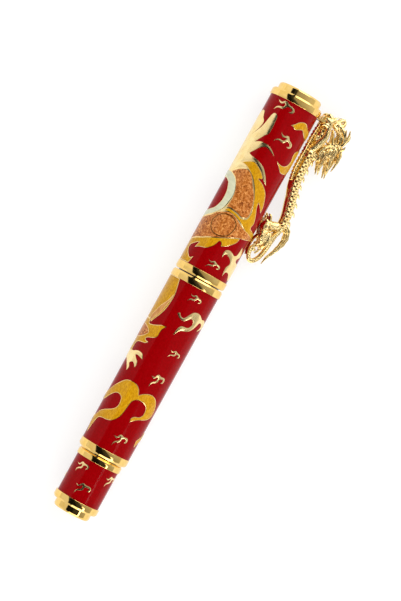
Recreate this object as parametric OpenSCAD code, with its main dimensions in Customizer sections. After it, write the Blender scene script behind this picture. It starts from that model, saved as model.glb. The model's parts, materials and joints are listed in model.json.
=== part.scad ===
// Capped piston-filling fountain pen with a cast dragon clip, lying on a desk.
// Every piece is drawn upright, along +Z from the tail's end face with the clip towards +X.
// lay_down() then lays the whole pen along +Y, rolled until a horn of the dragon meets the desk.

/* [Tail knob] */
// Length of the small end step
end_step_len = 2.4; // [2:0.1:3]
// Radius of the small end step
end_step_r = 6; // [5.5:0.1:6.5]
// Length of the finial's wide ring
finial_ring_len = 2.35; // [2:0.05:3]
// Radius of the finial's wide ring
finial_ring_r = 7.45; // [7.2:0.05:7.8]
// Length of the enamelled knob shell
knob_shell_len = 12.7; // [12:0.1:16]
// Radius of the enamelled knob shell
knob_shell_r = 7; // [6.8:0.1:7.2]
// Length of the ring at the knob's front
knob_ring_len = 2.15; // [1.8:0.05:2.6]
// Radius of the ring at the knob's front
knob_ring_r = 7.35; // [7.2:0.05:7.8]

/* [Barrel] */
// Gap between the knob and the barrel
knob_gap = 0.45; // [0.4:0.05:0.6]
// Length of the ring at the barrel's rear
rear_ring_len = 2.5; // [2:0.1:3]
// Radius of the ring at the barrel's rear
rear_ring_r = 8.2; // [8.1:0.05:8.4]
// Length of the enamelled barrel shell
barrel_shell_len = 56.5; // [56:0.5:62]
// Radius of the barrel shell at its front
barrel_front_r = 8.15; // [8.1:0.05:8.3]
// Radius of the barrel shell at its rear
barrel_rear_r = 7.95; // [7.9:0.05:8.1]
// Length of the ring at the barrel's front
front_ring_len = 2.45; // [2:0.05:3]
// Radius of the two widest rings, on which the pen lies
wide_ring_r = 8.5; // [8.45:0.05:8.8]

/* [Cap] */
// Gap between the cap's lip and the barrel
cap_gap = 0.35; // [0.3:0.05:0.5]
// Length of the cap's lip ring
lip_ring_len = 2.55; // [2:0.05:3]
// Radius of the cap's lip ring
lip_ring_r = 8.4; // [8.3:0.05:8.5]
// Length of the enamelled cap shell
cap_shell_len = 57.9; // [57:0.1:62]
// Radius of the enamelled cap shell
cap_shell_r = 8.1; // [8:0.05:8.15]
// Length of the crown's band
crown_band_len = 2.45; // [2.3:0.05:3]
// Length of the crown's top step
crown_len = 2.25; // [2:0.05:3]
// Radius of the crown's top step
crown_r = 7.2; // [6.8:0.1:7.4]

/* [Filling mechanism] */
// Travel of the piston
piston_travel = 20; // [16:1:20]
// Bore radius of the ink chamber
chamber_bore_r = 5; // [4.8:0.1:5.1]
// Radius of the piston's rod
rod_r = 2; // [1.8:0.1:2.1]

/* [Clip] */
// Thickness of the clip's bar
bar_t = 0.8; // [0.7:0.05:1]
// Width of the clip's bar
bar_w = 2.4; // [2.2:0.1:2.8]
// Radius of the hinge pin
pin_r = 0.45; // [0.4:0.05:0.5]
// Distance of the hinge pin from the pen's axis
pin_x = 10.3; // [10.2:0.1:10.5]

/* [Hidden] */
$fn = 96;

// Stations along the pen, from the tail's end face
z_finial = end_step_len;
z_knob_shell = z_finial + finial_ring_len;
z_knob_ring = z_knob_shell + knob_shell_len;
z_knob_front = z_knob_ring + knob_ring_len;
z_barrel = z_knob_front + knob_gap;
z_barrel_shell = z_barrel + rear_ring_len;
z_front_ring = z_barrel_shell + barrel_shell_len;
z_barrel_front = z_front_ring + front_ring_len;
z_cap = z_barrel_front + cap_gap;
z_cap_shell = z_cap + lip_ring_len;
z_band = z_cap_shell + cap_shell_len;
z_crown = z_band + crown_band_len;
z_top = z_crown + crown_len;

// Tubes inside the barrel and the cap
liner_r = 7;
liner_bore_r = 6.4;
cap_liner_r = 7.4;
cap_liner_bore_r = 7;
round_over = 0.35;
running_gap = 0.05;

// Filling mechanism, counted from the barrel's rear end
guide_flange_r = 7.15;
guide_flange_t = 0.25;
guide_r = liner_bore_r - 0.05;
guide_len = 27;
spindle_shaft_r = 3.15;
spindle_tube_r = 3.05;
spindle_flange_r = 4.6;
collar_r = 5.6;
collar_len = 1.35;
flange_len = 1.5;
key_wall = 4;
z_guide = z_barrel - guide_flange_t;
z_guide_front = z_barrel + guide_len;
z_collar_front = z_guide + collar_len;
washer_len = 0.3;
z_flange = z_collar_front + running_gap + washer_len;
z_spindle_front = z_guide_front - key_wall - 1;
z_piston = z_guide_front + 1;
piston_len = 5.5;
rod_tail = 30;
rod_flat = 1.6;
chamber_r = 6.35;
z_chamber_front = z_piston + piston_len + piston_travel + 4.5;

// Section and nib, counted from the barrel's front end
section_collar_r = 6.9;
groove_r = 6.5;
grip_rear_r = 6.35;
grip_waist_r = 5.05;
seal_wire_r = 0.45;
section_spigot_len = 4;
z_groove = z_barrel_front + 1.6;
groove_len = 1.5;
z_grip = z_groove + groove_len + 1.4;
z_section_front = z_barrel_front + 22.5;
section_ring_len = 1;
housing_r = 3.7;
nib_base_r = 3.05;
nib_t = 0.35;
nib_neck_w = 5.6;
nib_shoulder_w = 8.6;
nib_tip_w = 0.5;
nib_neck_u = 0.24;
nib_shoulder_u = 0.43;
nib_drop = 1.3;
z_nib = z_section_front - 6;
z_nib_tip = z_section_front + 24.3;
z_feed_tip = z_section_front + 16;
feed_fins = 10;

// Crown, clip and hinge
band_recess_r = 7.6;
washer_t = 0.55;
pin_drop = 3.5;
lug_r = 0.95;
lug_t = 0.8;
lug_inner_y = 1.25;
knuckle_w = 1.3;
spring_wire_r = 0.14;
spring_turns = 2;
casting_fn = 10;

// A horn's tip, [radial, sideways, radius], is what the dragon lies on
horn_tip = [18.6, 3.2, 0.35];
roll = asin((wide_ring_r - horn_tip[2]) / norm([horn_tip[0], horn_tip[1]]))
    - atan2(horn_tip[1], horn_tip[0]);
// Sideways shift that puts the whole pen's box centre on the origin
reach_x = 20.4;
shift_x = (wide_ring_r - reach_x) / 2;

// Lays the upright pen along +Y, crown forwards, on the desk at Z = 0
module lay_down() {
    translate([shift_x, -z_top / 2, wide_ring_r])
        rotate([0, roll, 0])
        rotate([-90, 0, 0])
        children();
}

// A ring with rounded outer edges
module ring(z0, z1, outer, inner, edge = round_over) {
    k = edge * 0.3;
    rotate_extrude()
        polygon([
            [inner, z0], [outer - edge, z0], [outer - k, z0 + k], [outer, z0 + edge],
            [outer, z1 - edge], [outer - k, z1 - k], [outer - edge, z1], [inner, z1]
        ]);
}

// A plain tube
module tube(z0, z1, outer, inner) {
    translate([0, 0, z0])
        difference() {
            cylinder(h = z1 - z0, r = outer);
            translate([0, 0, -1]) cylinder(h = z1 - z0 + 2, r = inner);
        }
}

// A round bar with two flats, which a keyed hole keeps from turning
module keyed_bar(z0, z1, r, flat) {
    translate([0, 0, z0])
        intersection() {
            cylinder(h = z1 - z0, r = r);
            translate([-r - 1, -flat, 0]) cube([2 * r + 2, 2 * flat, z1 - z0]);
        }
}

// ---- Tail knob: turns as one piece with the spindle ----

module knob_finial() {
    edge = 0.5;
    bevel = 0.6;
    color("gold") rotate_extrude()
        polygon([
            [0, 0], [end_step_r - 2 * edge, 0], [end_step_r - edge, 0.25 * edge],
            [end_step_r - 0.3 * edge, edge], [end_step_r, z_finial - 0.2],
            [finial_ring_r - bevel, z_finial], [finial_ring_r, z_finial + bevel],
            [finial_ring_r, z_knob_shell - 0.3], [finial_ring_r - 0.3, z_knob_shell],
            [0, z_knob_shell]
        ]);
}

module knob_core() {
    color("darkgoldenrod") tube(z_knob_shell, z_knob_ring, knob_shell_r - 0.8, spindle_shaft_r);
}

module knob_shell() {
    color("crimson") tube(z_knob_shell, z_knob_ring, knob_shell_r, knob_shell_r - 0.8);
}

module knob_ring() {
    color("gold") ring(z_knob_ring, z_knob_front, knob_ring_r, spindle_shaft_r);
}

module spindle() {
    color("silver") difference() {
        union() {
            translate([0, 0, z_knob_shell]) cylinder(h = z_flange - z_knob_shell, r = spindle_shaft_r);
            translate([0, 0, z_flange]) cylinder(h = flange_len, r = spindle_flange_r);
            translate([0, 0, z_flange]) cylinder(h = z_spindle_front - z_flange, r = spindle_tube_r);
        }
        translate([0, 0, z_piston - rod_tail - 1])
            cylinder(h = rod_tail + 2, r = rod_r + running_gap);
    }
}

module spindle_collar() {
    color("silver") tube(z_guide, z_collar_front, collar_r, spindle_shaft_r + running_gap);
}

module thrust_washer() {
    color("white") tube(z_flange - washer_len, z_flange, spindle_flange_r, spindle_shaft_r + running_gap);
}

// ---- Piston and its guide ----

module piston_guide() {
    neck_r = chamber_bore_r - 0.05;
    cavity_front = z_flange + flange_len + 0.1;
    color("goldenrod") difference() {
        union() {
            translate([0, 0, z_guide]) cylinder(h = guide_flange_t, r = guide_flange_r);
            translate([0, 0, z_guide]) cylinder(h = z_guide_front - z_guide - 1, r = guide_r);
            translate([0, 0, z_guide]) cylinder(h = z_guide_front - z_guide, r = neck_r);
        }
        translate([0, 0, z_guide - 1]) cylinder(h = collar_len + 1, r = collar_r);
        translate([0, 0, z_guide]) cylinder(h = cavity_front - z_guide, r = spindle_flange_r + 0.1);
        translate([0, 0, z_guide]) cylinder(h = z_guide_front - key_wall - z_guide, r = spindle_tube_r + 0.1);
        keyed_bar(z_guide, z_guide_front + 1, rod_r + running_gap, rod_flat + running_gap);
    }
}

module piston_rod() {
    color("white") keyed_bar(z_piston - rod_tail, z_piston, rod_r, rod_flat);
}

module piston_core() {
    color("dimgray") rotate_extrude()
        polygon([
            [0, z_piston], [4.3, z_piston], [4.3, z_piston + 1], [3.5, z_piston + 1],
            [3.5, z_piston + 4.5], [4.3, z_piston + 4.5], [4.3, z_piston + 5.2],
            [4, z_piston + piston_len], [0, z_piston + piston_len]
        ]);
}

module piston_seal() {
    lip = chamber_bore_r - running_gap;
    color("black") rotate_extrude()
        polygon([
            [3.5, z_piston + 1], [lip, z_piston + 1.1], [lip - 0.4, z_piston + 2],
            [lip - 0.4, z_piston + 3.5], [lip, z_piston + 4.4], [3.5, z_piston + 4.5]
        ]);
}

module ink_chamber() {
    color("lightsteelblue") tube(z_guide_front - 1, z_chamber_front, chamber_r, chamber_bore_r);
}

// Cross-section of the rubber ring round the section's spigot
module seal_ring() {
    translate([chamber_bore_r - seal_wire_r - 0.02, z_chamber_front - section_spigot_len / 2])
        circle(r = seal_wire_r, $fn = 32);
}

module chamber_seal() {
    color("black") rotate_extrude() seal_ring();
}

// ---- Barrel ----

module barrel_rear_ring() {
    color("gold") ring(z_barrel, z_barrel_shell, rear_ring_r, liner_r);
}

module barrel_liner() {
    color("darkgoldenrod") tube(z_barrel, z_barrel_front, liner_r, liner_bore_r);
}

module barrel_shell() {
    color("crimson") rotate_extrude()
        polygon([
            [liner_r, z_barrel_shell], [barrel_rear_r, z_barrel_shell],
            [barrel_front_r, z_front_ring], [liner_r, z_front_ring]
        ]);
}

module barrel_front_ring() {
    color("gold") ring(z_front_ring, z_barrel_front, wide_ring_r, liner_r);
}

// ---- Section, nib and feed ----

// The grip narrows in one smooth sweep to its waist, then flares to a lip
module section() {
    spigot_r = chamber_bore_r - 0.2;
    rear = z_chamber_front - section_spigot_len;
    grip = z_section_front - z_grip;
    grip_steps = 16;
    color("black") rotate_extrude()
        difference() {
            polygon(concat(
                [
                    [housing_r, rear], [spigot_r, rear], [spigot_r, z_chamber_front],
                    [liner_bore_r, z_chamber_front], [liner_bore_r, z_barrel_front],
                    [section_collar_r, z_barrel_front], [section_collar_r, z_groove],
                    [groove_r, z_groove], [groove_r, z_groove + groove_len],
                    [section_collar_r, z_groove + groove_len], [section_collar_r, z_grip]
                ],
                [for (i = [0 : grip_steps])
                    let (u = i / grip_steps)
                    [grip_waist_r + (grip_rear_r - grip_waist_r) * pow(1 - u, 2.2) + 0.25 * pow(u, 8),
                        z_grip + 0.3 + (grip - 0.3) * u]],
                [[housing_r, z_section_front]]
            ));
            seal_ring();
        }
}

module section_ring() {
    color("gold") ring(z_section_front, z_section_front + section_ring_len, 5.35, housing_r, 0.25);
}

module nib_housing() {
    color("black") tube(z_section_front - 18, z_section_front + 0.5, housing_r, nib_base_r);
}

// A tapering round bar with comb fins cut across its underside
module feed() {
    base_r = nib_base_r - nib_t - 0.15;
    rear = z_section_front - 16;
    comb = z_section_front + 2;
    pitch = (z_feed_tip - 4 - comb) / feed_fins;
    color("black") difference() {
        union() {
            translate([0, 0, rear]) cylinder(h = comb - rear, r = base_r);
            translate([0, 0, comb]) cylinder(h = z_feed_tip - comb, r1 = base_r, r2 = 1);
        }
        for (i = [0 : feed_fins - 1])
            translate([-base_r - 1, 0.6, comb + i * pitch]) cube([2 * base_r + 2, 4, pitch * 0.45]);
    }
}

// At a share u of the nib's length, 0 at the rear: how far it has opened out into its shoulders,
// its half width, the radius that its sheet is curled to, and half the angle that it spans
function nib_flare(u) = pow(sin(90 * max(0, min(1, (u - nib_neck_u) / (nib_shoulder_u - nib_neck_u)))), 2);
function nib_taper(u) = pow(1 - max(0, u - nib_shoulder_u) / (1 - nib_shoulder_u), 0.8);
function nib_half_width(u) =
    nib_tip_w / 2 + (nib_neck_w / 2 + (nib_shoulder_w - nib_neck_w) / 2 * nib_flare(u)) * nib_taper(u);
function nib_radius(u) = nib_base_r + 1.5 * nib_flare(u);
function nib_angle(u) = asin(min(0.97, nib_half_width(u) / nib_radius(u)));

// A point of the curled sheet, w from -1 at one edge to 1 at the other, depth below the upper face
function nib_point(u, w, depth) =
    let (r = nib_radius(u), a = nib_angle(u) * w, spine = nib_base_r - nib_drop * u * u)
    [(r - depth) * sin(a), r - spine - (r - depth) * cos(a), z_nib + (z_nib_tip - z_nib) * u];

// The nib is a sheet curled about the pen's axis, open underneath
module nib() {
    rows = 24;
    cols = 12;
    step = cols + 1;
    n = (rows + 1) * step;
    points = [for (depth = [nib_t, 0], i = [0 : rows], j = [0 : cols])
        nib_point(i / rows, 2 * j / cols - 1, depth)];
    function at(i, j, side) = side * n + i * step + j;
    function quad(a, b, c, d) = [[a, b, c], [a, c, d]];
    faces = concat(
        [for (i = [0 : rows - 1], j = [0 : cols - 1])
            each quad(at(i, j, 1), at(i + 1, j, 1), at(i + 1, j + 1, 1), at(i, j + 1, 1))],
        [for (i = [0 : rows - 1], j = [0 : cols - 1])
            each quad(at(i, j, 0), at(i, j + 1, 0), at(i + 1, j + 1, 0), at(i + 1, j, 0))],
        [for (i = [0 : rows - 1])
            each quad(at(i, 0, 0), at(i + 1, 0, 0), at(i + 1, 0, 1), at(i, 0, 1))],
        [for (i = [0 : rows - 1])
            each quad(at(i, cols, 0), at(i, cols, 1), at(i + 1, cols, 1), at(i + 1, cols, 0))],
        [for (j = [0 : cols - 1])
            each quad(at(0, j, 0), at(0, j, 1), at(0, j + 1, 1), at(0, j + 1, 0))],
        [for (j = [0 : cols - 1])
            each quad(at(rows, j, 0), at(rows, j + 1, 0), at(rows, j + 1, 1), at(rows, j, 1))]
    );
    color("gold") polyhedron(points = points, faces = faces);
}

// ---- Cap ----

module clutch_ring() {
    color("gold")
        ring(z_groove + 0.1, z_groove + groove_len - 0.1, cap_liner_bore_r - 0.03, groove_r + running_gap, 0.2);
}

module cap_lip_ring() {
    color("gold") ring(z_cap, z_cap_shell, lip_ring_r, cap_liner_r);
}

module cap_liner() {
    color("darkgoldenrod") tube(z_cap, z_band - 4, cap_liner_r, cap_liner_bore_r);
}

module cap_shell() {
    color("crimson") tube(z_cap_shell, z_band, cap_shell_r, cap_liner_r);
}

module inner_cap() {
    wide_bore = 6.6;
    nib_bore = 5.4;
    mouth = z_grip + 1;
    seat = z_section_front + section_ring_len + 0.3;
    color("dimgray") rotate_extrude()
        polygon([
            [wide_bore, mouth], [cap_liner_bore_r, mouth], [cap_liner_bore_r, z_band - 5.5],
            [0, z_band - 5.5], [0, z_band - 7], [nib_bore, z_band - 7], [nib_bore, seat],
            [wide_bore, seat - 1]
        ]);
}

module cap_plug() {
    color("darkgoldenrod") difference() {
        union() {
            translate([0, 0, z_band - 5.3]) cylinder(h = 5.3, r = cap_liner_bore_r);
            translate([0, 0, z_band - 4]) cylinder(h = 4, r = cap_liner_r);
        }
        translate([0, 0, z_band - 4]) cylinder(h = 5, r = 2);
    }
}

// The crown's band, recessed and notched underneath for the clip's bracket
module crown_band() {
    color("gold") difference() {
        ring(z_band, z_crown, wide_ring_r, 2);
        translate([0, 0, z_band - 1]) cylinder(h = 1 + washer_t + 0.05, r = band_recess_r);
        translate([0, -2.15, z_band - 1]) cube([20, 4.3, 1 + washer_t + 0.1]);
    }
}

module crown_finial() {
    stud_r = 2;
    color("gold") rotate_extrude()
        polygon([
            [0, z_band - 3.5], [stud_r, z_band - 3.5], [stud_r, z_crown],
            [crown_r, z_crown], [crown_r, z_top - 0.6], [crown_r - 0.2, z_top - 0.2],
            [crown_r - 0.7, z_top], [0, z_top]
        ]);
}

// ---- Clip hinge ----

// One ear of the hinge: an arm out from under the band, then an eye for the pin
module bracket_ear(y0) {
    translate([0, y0, 0]) {
        translate([6.5, 0, z_band]) cube([pin_x - 6, lug_t, washer_t]);
        translate([pin_x - lug_r, 0, z_band]) cube([2 * lug_r, lug_t, z_top - pin_drop - z_band]);
        translate([pin_x, 0, z_top - pin_drop]) rotate([-90, 0, 0]) cylinder(h = lug_t, r = lug_r);
    }
}

module clip_bracket() {
    color("goldenrod") difference() {
        union() {
            translate([0, 0, z_band]) cylinder(h = washer_t, r = band_recess_r - 0.05);
            bracket_ear(lug_inner_y);
            bracket_ear(-lug_inner_y - lug_t);
        }
        translate([0, 0, z_band - 1]) cylinder(h = 3, r = 2.05);
        translate([pin_x, -5, z_top - pin_drop]) rotate([-90, 0, 0]) cylinder(h = 10, r = pin_r);
    }
}

module clip_pin() {
    half = lug_inner_y + lug_t;
    color("silver")
        translate([pin_x, -half, z_top - pin_drop]) rotate([-90, 0, 0]) cylinder(h = 2 * half, r = pin_r);
}

// Coil of round wire about the pin, beside the clip's knuckle
module clip_spring() {
    sides = 6;
    per_turn = 14;
    coil_r = pin_r + 0.12 + spring_wire_r;
    pitch = 2.3 * spring_wire_r;
    count = spring_turns * per_turn;
    y0 = 0.37;
    rings = [for (i = [0 : count], k = [0 : sides - 1])
        let (a = 360 * i / per_turn, b = 360 * k / sides, r = coil_r + spring_wire_r * cos(b))
        [pin_x + r * cos(a), y0 + pitch * i / per_turn + spring_wire_r * sin(b), z_top - pin_drop + r * sin(a)]];
    sides_faces = [for (i = [0 : count - 1], k = [0 : sides - 1])
        let (n = (k + 1) % sides)
        each [[i * sides + k, (i + 1) * sides + k, (i + 1) * sides + n],
            [i * sides + k, (i + 1) * sides + n, i * sides + n]]];
    start = [for (k = [0 : sides - 1]) k];
    finish = [for (k = [sides - 1 : -1 : 0]) count * sides + k];
    color("silver") polyhedron(points = rings, faces = concat(sides_faces, [start, finish]));
}

// ---- Clip bar: a smooth strip that follows the dragon's inner side ----

// Centre line, [distance from the pen's axis, distance below the crown's top face]
bar_line = [
    [9.8, 5.1], [9.8, 10], [9.8, 16], [9.85, 21], [10.1, 24], [10.7, 26.8], [11.9, 29.9],
    [13.1, 33.7], [13.75, 37.6], [13.4, 40.4], [12.2, 42.2], [10.6, 43.4], [9.3, 44.8],
    [8.7, 47], [8.7, 49.5], [9.2, 51.5]
];

function spline_point(p0, p1, p2, p3, t) =
    0.5 * (2 * p1 + (p2 - p0) * t + (2 * p0 - 5 * p1 + 4 * p2 - p3) * t * t
        + (3 * p1 - p0 - 3 * p2 + p3) * t * t * t);
function smooth_line(p, per) = [
    for (i = [0 : len(p) - 2], j = [0 : per - 1])
        spline_point(p[max(0, i - 1)], p[i], p[i + 1], p[min(len(p) - 1, i + 2)], j / per),
    p[len(p) - 1]
];
function line_normal(p, i) =
    let (d = p[min(len(p) - 1, i + 1)] - p[max(0, i - 1)]) [-d[1], d[0]] / norm(d);

module clip_bar() {
    line = [for (q = smooth_line(bar_line, 3)) [q[0], z_top - q[1]]];
    last = len(line) - 1;
    left = [for (i = [0 : last]) line[i] + line_normal(line, i) * bar_t / 2];
    right = [for (i = [last : -1 : 0]) line[i] - line_normal(line, i) * bar_t / 2];
    eye = z_top - pin_drop;
    color("gold") difference() {
        union() {
            translate([0, bar_w / 2, 0]) rotate([90, 0, 0]) linear_extrude(bar_w) polygon(concat(left, right));
            translate([9.4, -1.1, z_top - 5.8]) cube([1.3, knuckle_w, 5.8 - pin_drop]);
            translate([pin_x, -1.1, eye]) rotate([-90, 0, 0]) cylinder(h = knuckle_w, r = 0.9);
        }
        translate([pin_x, -5, eye]) rotate([-90, 0, 0]) cylinder(h = 10, r = pin_r + running_gap);
    }
}

// ---- Dragon castings ----

// A tapering limb through balls [distance from the pen's axis, distance below the top, sideways, radius]
module limb(points) {
    for (i = [0 : len(points) - 2])
        hull() {
            casting_ball(points[i]);
            casting_ball(points[i + 1]);
        }
}

module casting_ball(p) {
    translate([p[0], p[2], z_top - p[1]]) sphere(r = p[3], $fn = casting_fn);
}

// The same limb on both sides of the clip
module limb_pair(points) {
    limb(points);
    limb([for (p = points) [p[0], p[1], -p[2], p[3]]]);
}

torso_line = [
    [12, 6.4, 0, 1.5], [11.9, 9.5, 0, 2], [11.9, 13.5, 0, 2.15], [11.8, 17.5, 0, 2],
    [11.75, 21.5, 0, 1.9], [12.2, 25, 0, 1.85], [13.1, 28.5, 0, 1.8], [14, 32, 0, 1.7],
    [14.6, 35, 0, 1.65], [14.7, 38, 0, 1.55], [14.2, 40.6, 0, 1.4]
];

// A spike on the back, leaning towards the tail
module back_spike(p) {
    hull() {
        casting_ball([p[0] + p[3] * 0.6, p[1] - 0.6, 0, 0.5]);
        casting_ball([p[0] + p[3] + 1, p[1] + 1.1, 0, 0.12]);
    }
}

module dragon_torso() {
    color("gold") union() {
        limb(torso_line);
        for (i = [3 : len(torso_line) - 3]) {
            back_spike(torso_line[i]);
            back_spike((torso_line[i] + torso_line[i + 1]) / 2);
        }
    }
}

module dragon_forelegs() {
    color("gold") union() {
        limb_pair([[12.8, 13.2, 1.7, 1], [13.2, 8.6, 2, 0.9], [12.6, 5.4, 2.1, 0.75], [12.4, 2.8, 1.9, 0.6]]);
        limb_pair([[12.4, 2.8, 1.5, 0.4], [11.2, 1.3, 1.2, 0.32], [10, 1.5, 1.1, 0.12]]);
        limb_pair([[12.4, 2.8, 2.3, 0.4], [11.4, 1.5, 2.6, 0.32], [10.2, 1.8, 2.7, 0.12]]);
    }
}

module dragon_head() {
    color("gold") union() {
        limb([[12.8, 14, 0, 1.5], [14.3, 12.3, 0, 1.6], [16.2, 10.8, 0, 1.75], [17.1, 8, 0, 1.9],
            [17, 4.8, 0, 1.25], [16.7, 2.4, 0, 0.75], [16.6, 0.6, 0, 0.5]]);
        limb([[16.3, 7.4, 0, 1.2], [15.4, 4.2, 0, 0.75], [14.6, 2, 0, 0.45]]);
        limb_pair([[18.3, 8.4, 0.8, 0.7], [19.3, 5.6, 2.2, 0.45], [horn_tip[0], 2.9, horn_tip[1], horn_tip[2]]]);
        limb_pair([[18.8, 8.8, 1, 0.7], [20.1, 10.8, 1.5, 0.6], [20.3, 13.5, 1.6, 0.45], [20.1, 16.2, 1.5, 0.2]]);
        limb_pair([[17.6, 10.8, 1.2, 0.9], [18.4, 15, 1.5, 0.6], [19.5, 18.4, 1.4, 0.45], [19.1, 21, 1.2, 0.2]]);
        limb_pair([[15.9, 12, 1, 1.1], [15.9, 16.5, 1.4, 0.5], [16.6, 19.2, 1.3, 0.2]]);
        limb_pair([[14.6, 13.5, 0.9, 0.8], [14.9, 17.4, 1.2, 0.4], [14.9, 19.3, 1.1, 0.2]]);
        limb([[18, 9.8, 0, 0.9], [18.6, 14.5, 0, 0.7], [18.2, 18, 0, 0.25]]);
    }
}

module dragon_tail() {
    color("gold") union() {
        limb([[14.2, 40.6, 0, 1.3], [14.2, 45, 0, 0.95], [13.8, 49, 0, 0.8], [12.8, 51.8, 0, 0.75],
            [11.3, 52.9, 0, 0.7], [10, 52, 0, 0.6], [9.9, 50, 0, 0.6], [10.6, 47.8, 0, 0.55],
            [11.8, 47.4, 0, 0.5], [12.4, 48.8, 0, 0.4], [11.6, 50, 0, 0.35]]);
        limb_pair([[12.6, 40.2, 1.1, 1.3], [10.6, 40, 1.7, 1.05], [10.3, 43.4, 1.9, 0.8],
            [11.4, 45.4, 1.8, 0.55], [10.2, 46.8, 1.6, 0.35]]);
        limb_pair([[10.6, 40, 1.7, 0.5], [10, 37.4, 1.3, 0.35], [9.6, 36.8, 0.9, 0.15]]);
        limb([[14.8, 39.4, 0, 1.1], [17.2, 39.6, 0, 0.85], [18, 42, 0, 0.7], [17.3, 45, 0, 0.6],
            [15.9, 47.7, 0, 0.5], [15, 50, 0, 0.35], [14.7, 51.9, 0, 0.2]]);
    }
}

lay_down() knob_finial();
lay_down() knob_shell();
lay_down() knob_core();
lay_down() knob_ring();
lay_down() spindle();
lay_down() spindle_collar();
lay_down() thrust_washer();
lay_down() piston_guide();
lay_down() piston_rod();
lay_down() piston_core();
lay_down() piston_seal();
lay_down() ink_chamber();
lay_down() chamber_seal();
lay_down() barrel_rear_ring();
lay_down() barrel_liner();
lay_down() barrel_shell();
lay_down() barrel_front_ring();
lay_down() section();
lay_down() section_ring();
lay_down() nib_housing();
lay_down() feed();
lay_down() nib();
lay_down() clutch_ring();
lay_down() cap_lip_ring();
lay_down() cap_liner();
lay_down() cap_shell();
lay_down() inner_cap();
lay_down() cap_plug();
lay_down() crown_band();
lay_down() crown_finial();
lay_down() clip_bracket();
lay_down() clip_pin();
lay_down() clip_spring();
lay_down() clip_bar();
lay_down() dragon_torso();
lay_down() dragon_forelegs();
lay_down() dragon_head();
lay_down() dragon_tail();
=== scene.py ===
"""The looks of a capped fountain pen with a dragon clip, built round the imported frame.

Sizes are in millimetres of the pen until a point goes into a mesh: "along" runs from the tail's end
face to the crown, "across" is how far a point seems to be from the pen's middle line from above, and
"out", "drop" and "side" place the dragon by its clip.
"""
import json
import math

import bpy
import numpy as np
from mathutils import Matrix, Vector, geometry


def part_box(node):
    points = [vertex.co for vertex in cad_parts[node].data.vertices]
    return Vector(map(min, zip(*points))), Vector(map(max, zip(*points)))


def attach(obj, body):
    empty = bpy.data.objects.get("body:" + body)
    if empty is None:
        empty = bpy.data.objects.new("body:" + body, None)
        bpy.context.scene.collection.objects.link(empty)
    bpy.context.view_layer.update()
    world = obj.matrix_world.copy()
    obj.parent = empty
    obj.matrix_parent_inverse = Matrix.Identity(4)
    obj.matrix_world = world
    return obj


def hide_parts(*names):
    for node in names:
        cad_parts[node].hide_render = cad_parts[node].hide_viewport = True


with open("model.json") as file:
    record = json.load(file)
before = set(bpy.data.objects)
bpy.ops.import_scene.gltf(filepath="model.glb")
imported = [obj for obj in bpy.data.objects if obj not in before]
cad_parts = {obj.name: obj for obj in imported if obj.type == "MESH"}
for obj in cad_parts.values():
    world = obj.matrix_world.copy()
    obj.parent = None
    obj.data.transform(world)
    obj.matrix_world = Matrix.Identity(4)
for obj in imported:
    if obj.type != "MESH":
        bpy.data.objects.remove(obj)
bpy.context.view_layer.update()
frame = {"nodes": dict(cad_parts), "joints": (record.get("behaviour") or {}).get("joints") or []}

MM = 0.001

# ---------------------------------------------------------------- where the pen lies

band_low, band_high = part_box("crown_band")
AXIS_X = (band_low.x + band_high.x) / 2
AXIS_Z = (band_low.z + band_high.z) / 2
TAIL_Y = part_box("knob_finial")[0].y
TOP_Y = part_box("crown_finial")[1].y
LENGTH = (TOP_Y - TAIL_Y) / MM
clip_joint = next(j for j in frame["joints"] if j["name"] == "clip_lift")
CLIP_ROLL = math.atan2(clip_joint["axis"][0], clip_joint["axis"][2])


def span(node):
    """Where a CAD node starts and ends along the pen."""
    low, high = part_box(node)
    return (low.y - TAIL_Y) / MM, (high.y - TAIL_Y) / MM


def radius_of(node):
    """The outer radius of a node that is turned about the pen's axis."""
    low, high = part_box(node)
    return (high.z - low.z) / 2 / MM


def on_pen(angle, along, radius):
    """A point at an angle from straight up towards the clip's side."""
    reach = radius * MM
    return (AXIS_X + reach * math.sin(angle), TAIL_Y + along * MM, AXIS_Z + reach * math.cos(angle))


def on_clip(out, drop, side):
    """A point by the clip: out from the pen's axis, drop below the crown's face, side downwards."""
    c, s = math.cos(CLIP_ROLL), math.sin(CLIP_ROLL)
    return (AXIS_X + (out * c - side * s) * MM, TOP_Y - drop * MM, AXIS_Z + (-out * s - side * c) * MM)


# ---------------------------------------------------------------- camera, lights and floor

PHOTO_LEAN = math.radians(28.8)
CAMERA_HEIGHT = 0.775
VIEW_ANGLE = math.radians(13.72)
AIM_ACROSS = 3.6
AIM_ALONG = 76.2


def add_camera():
    data = bpy.data.cameras.new("camera")
    data.sensor_fit = "VERTICAL"
    data.angle = VIEW_ANGLE
    camera = bpy.data.objects.new("camera", data)
    camera.location = (AXIS_X + AIM_ACROSS * MM, TAIL_Y + AIM_ALONG * MM, CAMERA_HEIGHT)
    camera.rotation_euler = (0, 0, PHOTO_LEAN)
    bpy.context.scene.collection.objects.link(camera)
    bpy.context.scene.camera = camera


def add_light(name, location, size, power):
    """A soft light that the gold doesn't mirror."""
    data = bpy.data.lights.new(name, "AREA")
    data.size = size
    data.energy = power
    light = bpy.data.objects.new(name, data)
    light.location = location
    light.rotation_euler = (-Vector(location)).to_track_quat("-Z", "Y").to_euler()
    light.visible_glossy = False
    bpy.context.scene.collection.objects.link(light)


def node_math(tree, operation, a, b=0.0):
    """The result of a Math node; a and b are numbers or sockets."""
    node = tree.nodes.new("ShaderNodeMath")
    node.operation = operation
    for socket, value in zip(node.inputs, (a, b)):
        if isinstance(value, (int, float)):
            socket.default_value = value
        else:
            tree.links.new(value, socket)
    return node.outputs[0]


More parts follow.
